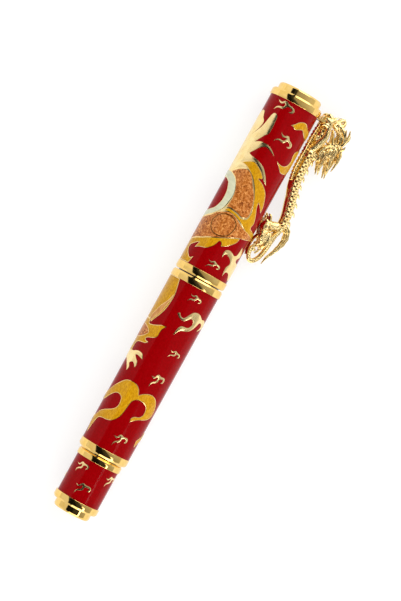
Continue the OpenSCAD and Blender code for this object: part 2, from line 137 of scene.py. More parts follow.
# How bright each part of the studio is
WALL, WALL_BY_CROWN = 0.82, 1.0
SCREEN, SCREEN_RIGHT = 0.008, 0.045
DIM_WALL, FAR_WALL = 0.34, 0.7
STRIP, WINDOW = 5.0, 2.2
# The screen's edges, as angles from straight up, and how far each turns for a step along the pen
SCREEN_FROM, SCREEN_TO = math.radians(-43), math.radians(13)
SCREEN_FROM_TURN, SCREEN_TO_TURN = -1.2, -5.5


def add_world():
    """A studio that polished gold mirrors as it does on the pen.

    Going round from the left: a wall that is whiter towards the crown, a black screen overhead that is wider
    towards the tail and less black in its right half, and a dim wall that gets lighter to the right.
    A bright strip lies on it beside the screen at the tail, and low windows shine at the pen's ends.
    """
    world = bpy.data.worlds.new("studio")
    bpy.context.scene.world = world
    world.use_nodes = True
    tree = world.node_tree
    coordinates = tree.nodes.new("ShaderNodeTexCoord")
    split = tree.nodes.new("ShaderNodeSeparateXYZ")
    tree.links.new(coordinates.outputs["Generated"], split.inputs[0])
    x, y, z = split.outputs

    def plus(a, b):
        return node_math(tree, "ADD", a, b)

    def times(a, b):
        return node_math(tree, "MULTIPLY", a, b)

    def above(value, edge, width):
        """0 below the edge and 1 from a width above it."""
        share = node_math(tree, "DIVIDE", node_math(tree, "SUBTRACT", value, edge), width)
        return node_math(tree, "MINIMUM", 1.0, node_math(tree, "MAXIMUM", 0.0, share))

    def below(value, edge, width):
        return node_math(tree, "SUBTRACT", 1.0, above(value, edge, width))

    angle = node_math(tree, "ARCTAN2", x, z)
    tilt = node_math(tree, "MAXIMUM", -0.1, node_math(tree, "MINIMUM", 0.1, y))
    screen_from = plus(SCREEN_FROM, times(tilt, SCREEN_FROM_TURN))
    screen_to = plus(SCREEN_TO, times(tilt, SCREEN_TO_TURN))
    middle = times(plus(screen_from, screen_to), 0.5)
    wall = plus(WALL, times(above(y, 0.012, 0.03), WALL_BY_CROWN - WALL))
    level = plus(SCREEN, times(wall, below(angle, screen_from, 0.05)))
    rises = ((middle, 0.15, SCREEN_RIGHT - SCREEN), (screen_to, 0.05, DIM_WALL - SCREEN_RIGHT),
             (screen_to, 1.7, FAR_WALL - DIM_WALL))
    for edge, width, rise in rises:
        level = plus(level, times(above(angle, edge, width), rise))
    strip = times(above(angle, screen_to, 0.03), below(angle, plus(screen_to, 0.12), 0.03))
    level = plus(level, times(times(strip, below(y, -0.085, 0.03)), STRIP))
    window = times(above(node_math(tree, "ABSOLUTE", y), 0.5, 0.08),
                   times(above(x, -0.18, 0.05), below(x, 0.58, 0.1)))
    level = plus(level, times(window, WINDOW))
    background = tree.nodes["Background"]
    background.inputs["Color"].default_value = (1, 0.985, 0.96, 1)
    tree.links.new(level, background.inputs["Strength"])


def add_floor():
    bpy.ops.mesh.primitive_plane_add(size=3.0)
    floor = bpy.context.object
    floor.name = "floor"
    material, shader, _ = new_material("floor")
    set_inputs(shader, Base_Color=(0.3, 0.3, 0.3, 1), Emission_Color=(1, 1, 1, 1), Emission_Strength=0.72,
               Roughness=0.7, Specular_IOR_Level=0.1)
    floor.data.materials.append(material)


# ---------------------------------------------------------------- materials


def new_material(name):
    """A material, its shader and its node tree."""
    material = bpy.data.materials.new(name)
    material.use_nodes = True
    shader = material.node_tree.nodes["Principled BSDF"]
    return material, shader, material.node_tree


def set_inputs(node, **values):
    """Sets sockets by name, with _ for a space."""
    for key, value in values.items():
        node.inputs[key.replace("_", " ")].default_value = value


def noise(tree, scale, stretch=(1, 1, 1), **settings):
    """Noise in the row's own metres; scale is its features to the millimetre."""
    coordinates = tree.nodes.new("ShaderNodeTexCoord")
    mapping = tree.nodes.new("ShaderNodeMapping")
    set_inputs(mapping, Scale=stretch)
    node = tree.nodes.new("ShaderNodeTexNoise")
    set_inputs(node, Scale=scale / MM, **settings)
    tree.links.new(coordinates.outputs["Object"], mapping.inputs["Vector"])
    tree.links.new(mapping.outputs["Vector"], node.inputs["Vector"])
    return node.outputs[0]


def ramp(tree, value, stops):
    """A colour ramp; stops are (place, (r, g, b))."""
    node = tree.nodes.new("ShaderNodeValToRGB")
    elements = node.color_ramp.elements
    while len(elements) < len(stops):
        elements.new(0.5)
    for element, (place, colour) in zip(elements, stops):
        element.position = place
        element.color = (*colour, 1)
    tree.links.new(value, node.inputs["Fac"])
    return node.outputs["Color"]


def spread(tree, value, low, high):
    """Maps 0 to 1 onto low to high."""
    node = tree.nodes.new("ShaderNodeMapRange")
    set_inputs(node, To_Min=low, To_Max=high)
    tree.links.new(value, node.inputs["Value"])
    return node.outputs["Result"]


def bump(tree, shader, height, distance, strength=1.0):
    """Distance is the bump's depth in millimetres."""
    node = tree.nodes.new("ShaderNodeBump")
    set_inputs(node, Distance=distance * MM, Strength=strength)
    tree.links.new(height, node.inputs["Height"])
    tree.links.new(node.outputs["Normal"], shader.inputs["Normal"])


def painted_hollow_shade(tree, colour):
    """Paints shade into a colour: turns it to dark brown where the piece's hollows lie deep, as its
    attribute marks them.
    """
    attribute = tree.nodes.new("ShaderNodeAttribute")
    attribute.attribute_name = "hollow_shade_amount"
    node = tree.nodes.new("ShaderNodeMix")
    node.data_type = "RGBA"
    tree.links.new(attribute.outputs["Fac"], node.inputs["Factor"])
    tree.links.new(colour, node.inputs["A"])
    # the dark brown painted shade of the hollows
    node.inputs["B"].default_value = (0.10, 0.045, 0.012, 1)
    return node.outputs["Result"]


def gold(name, light, dark, rough, grain=0.0, turned=False, paint_hollow_shade=False):
    """Gold plate: light and dark are its two tones. Turned gold has fine rings round the pen."""
    material, shader, tree = new_material(name)
    set_inputs(shader, Metallic=1.0)
    patches = noise(tree, 0.5, Detail=3.0)
    colour = ramp(tree, patches, [(0.3, dark), (0.65, light)])
    # cast gold gets painted shade in its hollows
    if paint_hollow_shade:
        colour = painted_hollow_shade(tree, colour)
    tree.links.new(colour, shader.inputs["Base Color"])
    tree.links.new(spread(tree, patches, rough * 0.7, rough * 1.4), shader.inputs["Roughness"])
    if turned:
        bump(tree, shader, noise(tree, 1.0, stretch=(0.05, 14, 0.05), Detail=2.0), 0.004, 0.35)
    elif grain:
        bump(tree, shader, noise(tree, 3.0, Detail=4.0), grain)
    return material


def enamel(name, stops, scale, rough, ior, depth=0.0, stretch=(1, 1, 1), **settings):
    """Fired enamel: its tones follow a fine texture, under a glossy skin."""
    material, shader, tree = new_material(name)
    pattern = noise(tree, scale, stretch, **settings)
    tree.links.new(ramp(tree, pattern, stops), shader.inputs["Base Color"])
    set_inputs(shader, IOR=ior)
    wear = noise(tree, 0.8, Detail=2.0)
    tree.links.new(spread(tree, wear, rough * 0.7, rough * 1.5), shader.inputs["Roughness"])
    if depth:
        bump(tree, shader, pattern, depth)
    return material


def plastic(name, colour, rough):
    """Moulded plastic or rubber with a fine grain."""
    material, shader, tree = new_material(name)
    tone = noise(tree, 1.2, Detail=3.0)
    lighter = tuple(min(1.0, c * 1.25 + 0.004) for c in colour)
    tree.links.new(ramp(tree, tone, [(0.3, colour), (0.7, lighter)]), shader.inputs["Base Color"])
    tree.links.new(spread(tree, tone, rough * 0.7, rough * 1.3), shader.inputs["Roughness"])
    bump(tree, shader, noise(tree, 6.0, Detail=2.0), 0.002)
    return material


def steel(name):
    """Steel with fine turning lines round the pen."""
    material, shader, tree = new_material(name)
    set_inputs(shader, Metallic=1.0)
    lines = noise(tree, 1.0, stretch=(0.05, 10, 0.05), Detail=3.0)
    tree.links.new(ramp(tree, lines, [(0.3, (0.42, 0.42, 0.43)), (0.7, (0.66, 0.66, 0.67))]),
                   shader.inputs["Base Color"])
    tree.links.new(spread(tree, lines, 0.18, 0.34), shader.inputs["Roughness"])
    bump(tree, shader, lines, 0.004)
    return material


def clear_resin(name):
    """Clear resin with faint streaks."""
    material, shader, tree = new_material(name)
    set_inputs(shader, Transmission_Weight=0.9, IOR=1.49)
    streaks = noise(tree, 0.6, Detail=2.0)
    tree.links.new(ramp(tree, streaks, [(0.3, (0.8, 0.87, 0.9)), (0.7, (0.9, 0.94, 0.96))]),
                   shader.inputs["Base Color"])
    tree.links.new(spread(tree, streaks, 0.03, 0.1), shader.inputs["Roughness"])
    return material


GOLD = gold("polished_gold", (0.94, 0.65, 0.22), (0.86, 0.56, 0.15), 0.07, turned=True)
FLAT_GOLD = gold("engraved_gold", (0.98, 0.78, 0.40), (0.90, 0.67, 0.29), 0.2, grain=0.006)
# Cast gold, with painted shade darkening its hollows
CAST_GOLD = gold("cast_gold", (1.0, 0.79, 0.38), (0.92, 0.65, 0.25), 0.17, grain=0.03, paint_hollow_shade=True)
NIB_GOLD = gold("nib_gold", (0.96, 0.74, 0.36), (0.88, 0.64, 0.28), 0.1, grain=0.002)
BRASS = gold("turned_brass", (0.62, 0.45, 0.2), (0.5, 0.34, 0.13), 0.25, turned=True)
RED = enamel("red_enamel", [(0.3, (0.235, 0.0002, 0.0010)), (0.55, (0.27, 0.0003, 0.0016)),
                            (0.75, (0.30, 0.0006, 0.0030))], 1.6, 0.06, 1.18, depth=0.004, Detail=5.0)
YELLOW = enamel("yellow_enamel", [(0.3, (0.44, 0.19, 0.001)), (0.5, (0.56, 0.27, 0.002)),
                                  (0.7, (0.66, 0.35, 0.01))],
                3.0, 0.16, 1.3, depth=0.02, stretch=(1, 0.4, 1), Detail=4.0)
ORANGE = enamel("orange_enamel", [(0.33, (0.16, 0.035, 0.004)), (0.48, (0.44, 0.12, 0.014)),
                                  (0.66, (0.74, 0.33, 0.09))],
                1.5, 0.2, 1.35, depth=0.07, Detail=4.0, Roughness=0.6, Distortion=0.9)
PEACH = enamel("peach_enamel", [(0.3, (0.44, 0.15, 0.02)), (0.7, (0.68, 0.34, 0.10))],
               1.5, 0.18, 1.35, depth=0.03, stretch=(1, 0.3, 1), Detail=5.0)
MINT = enamel("mint_enamel", [(0.3, (0.55, 0.56, 0.38)), (0.7, (0.68, 0.68, 0.48))],
              1.4, 0.12, 1.35, depth=0.01, stretch=(0.3, 1, 0.3), Detail=3.0)
# A dark brown painted shadow along the inner edge of the oval lobe
LOBE_EDGE_SHADOW = gold("painted_lobe_edge_shadow", (0.22, 0.11, 0.03), (0.12, 0.05, 0.01), 0.3, grain=0.004)
BLACK = plastic("black_resin", (0.012, 0.012, 0.013), 0.16)
WHITE = plastic("white_plastic", (0.78, 0.78, 0.75), 0.4)
RUBBER = plastic("rubber", (0.02, 0.02, 0.02), 0.6)
STEEL = steel("turned_steel")
CLEAR = clear_resin("clear_resin")


# ---------------------------------------------------------------- meshes


def add_piece(name, points, faces, body, materials, slot, stands_for=(), crease=35, face_materials=None):
    """A closed mesh in the row's frame, riding on a body."""
    mesh = bpy.data.meshes.new(name)
    mesh.from_pydata([tuple(p) for p in points], [], faces)
    for material in materials:
        mesh.materials.append(material)
    if face_materials is not None:
        mesh.polygons.foreach_set("material_index", face_materials)
    mesh.polygons.foreach_set("use_smooth", [True] * len(mesh.polygons))
    mesh.set_sharp_from_angle(angle=math.radians(crease))
    mesh.update()
    piece = bpy.data.objects.new(name, mesh)
    bpy.context.scene.collection.objects.link(piece)
    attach(piece, body)
    if stands_for:
        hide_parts(*stands_for)
    return piece


def joined(parts):
    """Parts as one list of points and one of faces."""
    points, faces = [], []
    for part_points, part_faces in parts:
        start = len(points)
        points += [tuple(p) for p in part_points]
        faces += [tuple(v + start for v in f) for f in part_faces]
    return points, faces


def skin(rows, across, closed=False):
    """Faces between rows of points that each run once round; closed joins the last row to the first."""
    faces = []
    for k in range(rows if closed else rows - 1):
        a, b = k * across, (k + 1) % rows * across
        faces += [(a + i, a + (i + 1) % across, b + (i + 1) % across, b + i) for i in range(across)]
    return faces


def capped_skin(rows, across):
    """The same with a flat face at each end."""
    last = (rows - 1) * across
    return [tuple(range(across))[::-1]] + skin(rows, across) + [tuple(range(last, last + across))]


def filleted(corners, steps=5):
    """A closed profile of (radius, along, fillet) corners with its corners rounded."""
    profile = []
    count = len(corners)
    for i, (r, a, fillet) in enumerate(corners):
        here = Vector((r, a))
        if not fillet:
            profile.append(here)
            continue
        before = Vector(corners[i - 1][:2]) - here
        after = Vector(corners[(i + 1) % count][:2]) - here
        start = here + before.normalized() * min(fillet, before.length / 2)
        end = here + after.normalized() * min(fillet, after.length / 2)
        for k in range(steps + 1):
            t = k / steps
            profile.append(start * (1 - t) ** 2 + here * 2 * t * (1 - t) + end * t * t)
    return profile


def lathe(name, corners, body, material, slot, stands_for, segments=160):
    """Turns a closed profile round the pen's axis."""
    profile = filleted(corners)[::-1]
    points = [on_pen(2 * math.pi * k / segments, p.y, p.x) for k in range(segments) for p in profile]
    faces = skin(segments, len(profile), closed=True)
    return add_piece(name, points, faces, body, [material], slot, stands_for)


CHAMFER = 0.55
CHAMFER_DROP = 0.36
EDGE_ROUND = 0.14
# An end face: how far in its chamfer and its raised edge end and its flat starts, and how deep that lies
FACE_CHAMFER = 0.4
FACE_EDGE = 1.5
FLAT_FROM = 1.8
FLAT_DEPTH = 0.12


def ring_profile(node, inner, free_edge):
    """A flat band: a small round where it meets the enamel, a wide chamfer at its free edge.

    free_edge is 1 towards the crown and -1 towards the tail.
    """
    low, high = span(node)
    outer = radius_of(node)
    if free_edge > 0:
        return [(inner, low, 0), (outer, low, EDGE_ROUND), (outer, high - CHAMFER, 0.1),
                (outer - CHAMFER_DROP, high, 0.06), (inner, high, 0)]
    return [(inner, low, 0), (outer - CHAMFER_DROP, low, 0.06), (outer, low + CHAMFER, 0.1),
            (outer, high, EDGE_ROUND), (inner, high, 0)]


# ---------------------------------------------------------------- raised motifs


def catmull_rom(p0, p1, p2, p3, t):
    """The point at a share t of the way from p1 to p2 on a smooth curve."""
    return 0.5 * (2 * p1 + (p2 - p0) * t + (2 * p0 - 5 * p1 + 4 * p2 - p3) * t * t
                  + (3 * p1 - p0 - 3 * p2 + p3) * t ** 3)


def smooth_outline(points, step):
    """A closed curve through (x, y) points at even steps; a third value marks a sharp corner."""
    count = len(points)
    places = [np.array(p[:2], float) for p in points]
    sharp = [len(p) > 2 for p in points]
    curve = []
    for i in range(count):
        p1, p2 = places[i], places[(i + 1) % count]
        p0 = p1 - (p2 - p1) * 0.5 if sharp[i] else places[i - 1]
        p3 = p2 + (p2 - p1) * 0.5 if sharp[(i + 1) % count] else places[(i + 2) % count]
        parts = max(2, int(round(np.linalg.norm(p2 - p1) / step)))
        curve += [catmull_rom(p0, p1, p2, p3, k / parts) for k in range(parts)]
    return np.array(curve)


def outline_distance(spots, curve):
    """How far each spot is from a closed curve."""
    a, b = curve, np.roll(curve, -1, axis=0)
    best = np.full(len(spots), 1e9)
    for p, q in zip(a, b):
        edge = q - p
        t = np.clip((spots - p) @ edge / max(edge @ edge, 1e-12), 0, 1)
        best = np.minimum(best, np.linalg.norm(spots - p - t[:, None] * edge, axis=1))
    return best


def inside_outline(spots, curve):
    """Which spots a closed curve goes round."""
    inside = np.zeros(len(spots), bool)
    for p, q in zip(curve, np.roll(curve, -1, axis=0)):
        if p[1] == q[1]:
            continue
        crosses = (p[1] > spots[:, 1]) != (q[1] > spots[:, 1])
        inside ^= crosses & (spots[:, 0] < (q[0] - p[0]) * (spots[:, 1] - p[1]) / (q[1] - p[1]) + p[0])
    return inside


def fill_outline(curve, rim, grid):
    """Triangles inside a curve, with a second line at the rim's width inside it."""
    area = 0.5 * np.sum(curve[:, 0] * np.roll(curve[:, 1], -1) - np.roll(curve[:, 0], -1) * curve[:, 1])
    if area < 0:
        curve = curve[::-1]
    tangent = np.roll(curve, -1, axis=0) - np.roll(curve, 1, axis=0)
    normal = np.stack([-tangent[:, 1], tangent[:, 0]], 1) / np.maximum(
        np.linalg.norm(tangent, axis=1), 1e-9)[:, None]
    inner = curve + normal * rim
    keep = (outline_distance(inner, curve) > rim * 0.97) & inside_outline(inner, curve)
    low, high = curve.min(0), curve.max(0)
    columns = np.arange(low[0], high[0], grid)
    rows = np.arange(low[1], high[1], grid * 0.87)
    spots = np.array([(x + (grid / 2 if j % 2 else 0), y) for j, y in enumerate(rows) for x in columns])
    if len(spots):
        spots = spots[inside_outline(spots, curve)]
    if len(spots):
        spots = spots[outline_distance(spots, curve) > rim + grid * 0.45]
    kept = np.flatnonzero(keep)
    n = len(curve)
    vertices = [Vector(p) for p in curve] + [Vector(p) for p in inner[kept]] + [Vector(p) for p in spots]
    edges = [(i, (i + 1) % n) for i in range(n)]
    number = {k: n + i for i, k in enumerate(kept)}
    edges += [(number[k], number[(k + 1) % n]) for k in kept if (k + 1) % n in number]
    flat, _, triangles, _, _, _ = geometry.delaunay_2d_cdt(vertices, edges, [], 0, 1e-5)
    flat = np.array([tuple(p) for p in flat])
    triangles = np.array([t for t in triangles if len(t) == 3])
    middles = flat[triangles].mean(axis=1)
    return flat, triangles[inside_outline(middles, curve)], curve


def relief_mesh(curve, place, rim, height, dome, sink=0.05, grid=0.5):
    """Points, faces and rim flags of a closed raised plate; place(x, y, height) puts it on the pen."""
    flat, triangles, curve = fill_outline(curve, rim, grid)
    depth = outline_distance(flat, curve)
    tops = height + dome * (1 - np.exp(-np.maximum(depth - rim, 0) / 0.3)) - 0.03 * (depth < 1e-4)
    count = len(flat)
    points = [place(x, y, h) for (x, y), h in zip(flat, tops)] + [place(x, y, -sink) for x, y in flat]
    edge_count = {}
    for t in triangles:
        for a, b in ((t[0], t[1]), (t[1], t[2]), (t[2], t[0])):
            edge_count[(a, b)] = edge_count.get((a, b), 0) + 1
    sides = [(a, b) for (a, b) in edge_count if (b, a) not in edge_count]
    faces = [tuple(int(v) for v in t) for t in triangles]
    faces += [tuple(int(v) + count for v in reversed(t)) for t in triangles]
    faces += [(int(b), int(a), int(a) + count, int(b) + count) for a, b in sides]
    middles = flat[triangles].mean(axis=1)
    on_rim = (outline_distance(middles, curve) < rim).astype(int)
    return points, faces, list(on_rim) + [1] * (len(faces) - len(triangles))


class Shell:
    """The enamelled tube of a body: its ends along the pen and its radius at each station."""

    def __init__(self, body):
        self.body = body
        node = body + "_shell"
        self.low, self.high = span(node)
        middle = TAIL_Y + (self.low + self.high) / 2 * MM
        radii = {True: 0, False: 0}
        for v in frame["nodes"][node].data.vertices:
            at_rear = v.co.y < middle
            radii[at_rear] = max(radii[at_rear], math.hypot(v.co.x - AXIS_X, v.co.z - AXIS_Z) / MM)
        self.rear, self.front = radii[True], radii[False]

    def radius(self, along):
        t = (along - self.low) / (self.high - self.low)
        return self.rear + (self.front - self.rear) * t

    def arc(self, across):
        """Turns a distance seen from above into a length round the shell."""
        r = self.radius((self.low + self.high) / 2)
        if abs(across) <= r:
            return r * math.asin(across / r)
        return math.copysign(r * math.pi / 2 + abs(across) - r, across)

    def place(self, x, y, height):
        r = self.radius(y)
        return on_pen(x / r, y, r + height)


def cut_to(outline, low, high):
    """Keeps a motif clear of the rings at its shell's ends."""
    return np.array([(x, min(max(y, low), high)) for x, y in outline])


MOTIF_STEP = 0.25
RING_GAP = 0.02
RIM = 0.14


def add_motif(name, shell, outlines, fill, slot, rim_material=None, rim=RIM, height=0.14, dome=0.0):
    """One motif, or several alike in one piece, from outlines already unrolled."""
    plates, flags = [], []
    for outline in outlines:
        curve = cut_to(smooth_outline(outline, MOTIF_STEP), shell.low + RING_GAP, shell.high - RING_GAP)
        points, faces, on_rim = relief_mesh(curve, shell.place, rim, height, dome)
        plates.append((points, faces))
        flags += on_rim
    points, faces = joined(plates)
    return add_piece(name, points, faces, shell.body, [fill, rim_material or fill], slot,
                     face_materials=flags)


# Where the motifs that run off the visible side are cut and carried on in mirror image, seen from above
LEFT_SEAM = -10
RIGHT_SEAM = 8.75

# Outlines are (across, along), and a third value marks a sharp corner.
# The small cloud, about its own middle: two wisps and a crest that curls back
CLOUD = [
    (-2.3, 0.2, 1), (-1.5, 0.1), (-1, 0.3), (-0.6, 1), (-0.1, 1.3), (0.5, 1.1), (1.1, 1), (1.9, 1.1),
    (2.6, 0.8), (2.8, 0.1), (2.5, -0.5), (1.8, -0.7, 1), (2.2, -0.2), (2.2, 0.3), (1.8, 0.5), (1.1, 0.4),
    (0.7, 0.1), (0.6, -0.6), (0.2, -1.2), (-0.5, -1.5), (-1.1, -2), (-1.5, -3, 1), (-1.4, -1.9),
    (-0.9, -1.2), (-0.2, -0.8), (0.1, -0.3), (0, 0.3), (-0.3, 0.5), (-0.7, 0), (-1.3, -0.3),
]
# Where the gold paw meets the flames, and the lower edge of the scales
PAW_EDGE = [(-5.75, 119.25, 1), (-4.25, 120.25), (-2.5, 121), (-1, 120.5), (1, 119.25)]
SCALES_EDGE = [
    (-10, 91, 1), (-6, 93), (-3.75, 94.25), (-1.5, 95.25), (0.5, 96.25), (2.5, 97.25), (4.5, 98.25),
]
GOLD_PAW = [
    (-10, 115.5, 1), (-10, 128), (-9, 133.5), (-8, 136), (-7.25, 136.5), (-6.5, 134.5), (-5.75, 133.25),
    (-6, 131), (-7, 128.5, 1), (-6, 130.5), (-5.25, 132.75), (-4.5, 136.5), (-3.5, 137), (-2.75, 136),
    (-2.5, 131), (-3.5, 129.5), (-5.25, 126.5, 1), (-4, 127.25), (-2, 127.5), (0, 127), (2.25, 125.25, 1),
    (0, 126.25), (-1.5, 126.5), (-3, 125.5), (-5, 122.75, 1), (-3.75, 122.25), (-2, 122), (0.5, 121),
    (2.5, 119), (4.25, 116.25, 1), (2.5, 117.5), *PAW_EDGE[::-1], (-3, 118.5, 1), (-5, 118),
    (-6.5, 116.75), (-7.25, 115.5, 1),
]
FLAME_MAIN = [
    *PAW_EDGE, (2.25, 117.75), (1.25, 117, 1), (3, 116.25), (4.5, 115), (5.5, 113.5), (6.5, 110.5),
    (6.75, 108.25, 1), (4.75, 110.75, 1), (5, 109), (6, 106.5), (6.5, 104.5), (6.5, 102.5), (8.5, 101.25),
    (10.5, 99, 1), (8.5, 99.75), (6.25, 100.75), (4.75, 101.5), (2.75, 102.75), (1, 103.5), (-1.5, 104),
    (-3.5, 103.5, 1), (-2.75, 104.75), (-1.5, 105), (1, 104.5), (2.5, 104), (4, 104.75), (4.25, 107),
    (3.5, 109.5), (2.5, 112), (1, 114.75), (-1, 117), (-3.75, 118.75),
]
SCALE_PANEL = [
    (-7, 115.5, 1), (-5.75, 116.75), (-4.25, 117.75), (-2.75, 118), (-1, 117), (0.75, 114.5), (2.5, 112),
    (3.5, 109.5), (4, 107), (4, 105.25), (2.5, 104.25), (1, 104.75), (-1.5, 105.25), (-3.25, 105, 1),
    (-3, 109), (-3.75, 111.75), (-5, 114),
]
BELLY_BAND = [
    (-10, 115.5, 1), (-8, 115.5), (-6.75, 115.25), (-5, 114), (-3.75, 112), (-3, 109.25), (-3.25, 106.75),
    (-3.75, 104.5), (-4.75, 102.75), (-6.25, 101), (-8, 99), (-10, 97, 1), (-10, 99.75, 1), (-8, 101.25),
    (-6.5, 103), (-5.5, 105.25), (-5.25, 107.5), (-5.5, 109.75), (-6.25, 112, 1), (-7.5, 113),
    (-10, 113, 1),
]
SCALE_FIELD = [
    (-10, 97, 1), (-8, 98.75), (-6.25, 100.75), (-5, 102.25), (-3.5, 103.25), (-1.5, 104), (1, 103.5),
    (2.75, 102.5), (4.75, 101.5), (8.5, 99.75, 1), (6.25, 98.75), *SCALES_EDGE[::-1],
]
# The oval lobe within the scales; its edge is painted dark brown as the shadow inside its rim
OVAL = [
    (-5, 99.5), (-4.25, 101.75), (-2.5, 103), (-0.75, 103.25), (1.25, 102.5), (2.25, 101), (2, 98.75),
    (1, 97), (-1.25, 96), (-3.25, 96.25), (-4.5, 97.5),
]
# The gold that shows as thin lines between the cap's large motifs
CAP_GROUND = [
    (-10, 119.5, 1), (-6, 119.75), (-4.25, 120.75), (-2.5, 121.25), (-1, 120.75), (0.5, 119),
    (0.25, 117.25), (1.5, 115), (3.25, 112.5), (4.25, 109.75), (5, 107.75), (5.75, 106), (6, 104.25),
    (6, 102.5), (8.25, 101, 1), (8.25, 100, 1), (6.5, 99.25), (3.25, 97.5), (0.25, 95.5), (-3, 93.5),
    (-5.75, 92.25), (-10, 90.5, 1), (-10, 98.75, 1), (-8, 100.5), (-6.5, 102.25), (-5.25, 104.5),
    (-4.75, 107.25), (-5, 109.75), (-5.75, 112.5), (-7.25, 114.25), (-10, 114.5, 1),
]
FLAME_LOW = [
    *SCALES_EDGE, (5, 98.5, 1), (4.75, 97), (3.5, 95.25), (2, 94), (1, 93.5, 1), (0.75, 94.5), (0, 94.75),
    (-0.75, 93), (-1.75, 91.75), (-2.75, 91), (-4.5, 90.5), (-5.75, 89.75, 1), (-5.25, 91.75, 1),
    (-6.5, 90.75), (-7.25, 89.75), (-7.25, 88.5), (-6.5, 87), (-5.5, 86.25), (-4.75, 87, 1),
    (-5.25, 84.5, 1), (-10, 84.5, 1),
]
GOLD_HOOK = [
    (3, 90.75, 1), (2.75, 92), (3, 93.25), (4, 93.75), (5, 93.5), (6, 93), (6.75, 93.75), (7, 96.5, 1),
    (7.75, 94.5), (7.75, 93.5), (7.25, 92.5), (7.25, 91.75), (7.75, 91.25), (8.75, 91.25, 1),
    (8.75, 85.5, 1), (7.75, 85.5, 1), (7.25, 87), (6.75, 87.5), (6, 87.25), (5.75, 85.75, 1), (5.5, 87.5),
    (5.5, 88.75), (6, 90), (5.75, 91), (5, 91.75), (4, 92.25), (3.25, 91.75),
]
FLAME_TOP = [
    (2, 136, 1), (3, 137), (3.75, 138), (5, 138.75), (6, 138.75), (6.75, 138), (7.5, 137.25),
    (8.75, 136.75, 1), (8.75, 134.5, 1), (7.5, 134.75), (6.5, 135.75), (5.75, 136.5), (4.75, 136),
    (3.75, 135.5), (2.75, 136),
]
FLAME_HOOK = [
    (8.75, 131, 1), (7.5, 130.25), (7, 128.75), (7.25, 126.75), (7, 125.25), (6.25, 124.25), (5, 124),
    (3.5, 124.5, 1), (4.75, 123.25), (6, 122), (7, 122), (7.75, 122.5), (8.75, 124, 1),
]
LEG = [
    (-10, 79, 1), (-5, 79, 1), (-4.5, 76.75), (-4, 74.25), (-4, 72), (-4.25, 69.5), (-5, 66.75),
    (-6.5, 63.25, 1), (-7, 64), (-10, 64.25, 1),
]
LEG_STRIPE = [
    (-4.25, 74, 1), (-4.25, 72), (-4.75, 69.5), (-5.25, 67), (-6.75, 63.5, 1), (-7.25, 65),
    (-6.75, 67.25), (-6, 69.5), (-5, 71.5),
]
FOOT = [
    (-10, 64, 1), (-7.25, 64), (-6.75, 62.75), (-5.75, 62.75), (-4.5, 63.25), (-3, 64), (-1.5, 64.25, 1),
    (-2.25, 63), (-2.5, 61.75), (-2.5, 60.5), (-3.25, 59.5), (-5.25, 58.5), (-5.25, 57.75),
    (-4.25, 57.5, 1), (-5, 56.75), (-7, 56.25), (-7.5, 55.25), (-7.5, 52.75, 1), (-10, 52.75, 1),
]
FOOT_PATCH = [(-9.5, 62), (-7.5, 62), (-6.25, 61.25), (-5.5, 60), (-6.5, 58.5), (-7.75, 57.5), (-9.5, 57.5)]
PAW = [
    (-10, 53.5, 1), (-7.25, 53), (-6.25, 53.5), (-5, 53.75), (-3.75, 53.25), (-3.25, 52, 1), (-5, 52.5),
    (-5.75, 52.25), (-5, 51.25), (-4.25, 50.5), (-4, 49.5), (-4.25, 48.75, 1), (-4.75, 49.5), (-5.5, 50),
    (-6.25, 49.25), (-5.75, 48), (-6, 46.75, 1), (-6.5, 48), (-7.75, 50), (-10, 50.25, 1),
]
SCROLL = [
    (-0.75, 69.5, 1), (0, 70), (0.5, 69.25), (1.25, 69), (2, 69.25), (3.25, 71.5), (4.25, 72.25),
    (5.5, 72.25), (6.75, 71.25), (7.5, 71.25), (8, 70.25), (8, 69), (7, 67.25, 1), (7.5, 69), (7, 70),
    (6.5, 69.75), (6, 68), (5, 66.25), (3.5, 65.5), (2.5, 65), (1.25, 63, 1), (1.5, 65), (2.25, 66.5),
    (4.25, 67), (5, 68.5), (4.5, 69.75), (3.75, 69.75), (2.75, 68.75), (1.75, 68.25), (0.5, 68.5),
]
S_CLOUD = [
    (-8, 35.5, 1), (-8, 37.5), (-7.25, 40.25), (-6, 42.5), (-4.5, 44.25), (-2.75, 44.75), (-1, 44.5),
    (0.25, 43.5), (1, 42, 1), (2.25, 43), (4, 43.75), (5.5, 43.5), (6.5, 42.5), (7.25, 40.5), (7.5, 38.5),
    (7, 36.75), (5.75, 35.75), (4.25, 35), (2.5, 33.5, 1), (2.25, 34.5), (3, 35.5), (4.25, 36), (5, 37),
    (5, 38.5), (4.5, 39.75), (3.25, 40.5), (1.5, 40.5), (0.5, 39.75), (0, 38.75), (-0.5, 35), (-1, 33.25),
    (-2.25, 31.5), (-4, 30.75), (-5.75, 30.5), (-6.75, 29.5), (-7.5, 24.5, 1), (-8, 29), (-7.5, 31),
    (-6.75, 32.5), (-4, 34.5), (-3, 36), (-3, 37.75), (-3.5, 39), (-4.75, 39.5), (-6, 38.75),
    (-7.5, 36, 1),
]
EDGE_FLAME = [(8.75, 32.25, 1), (7.75, 30.75), (7, 29), (7.25, 27, 1), (7.75, 28.5), (8.75, 29.5, 1)]

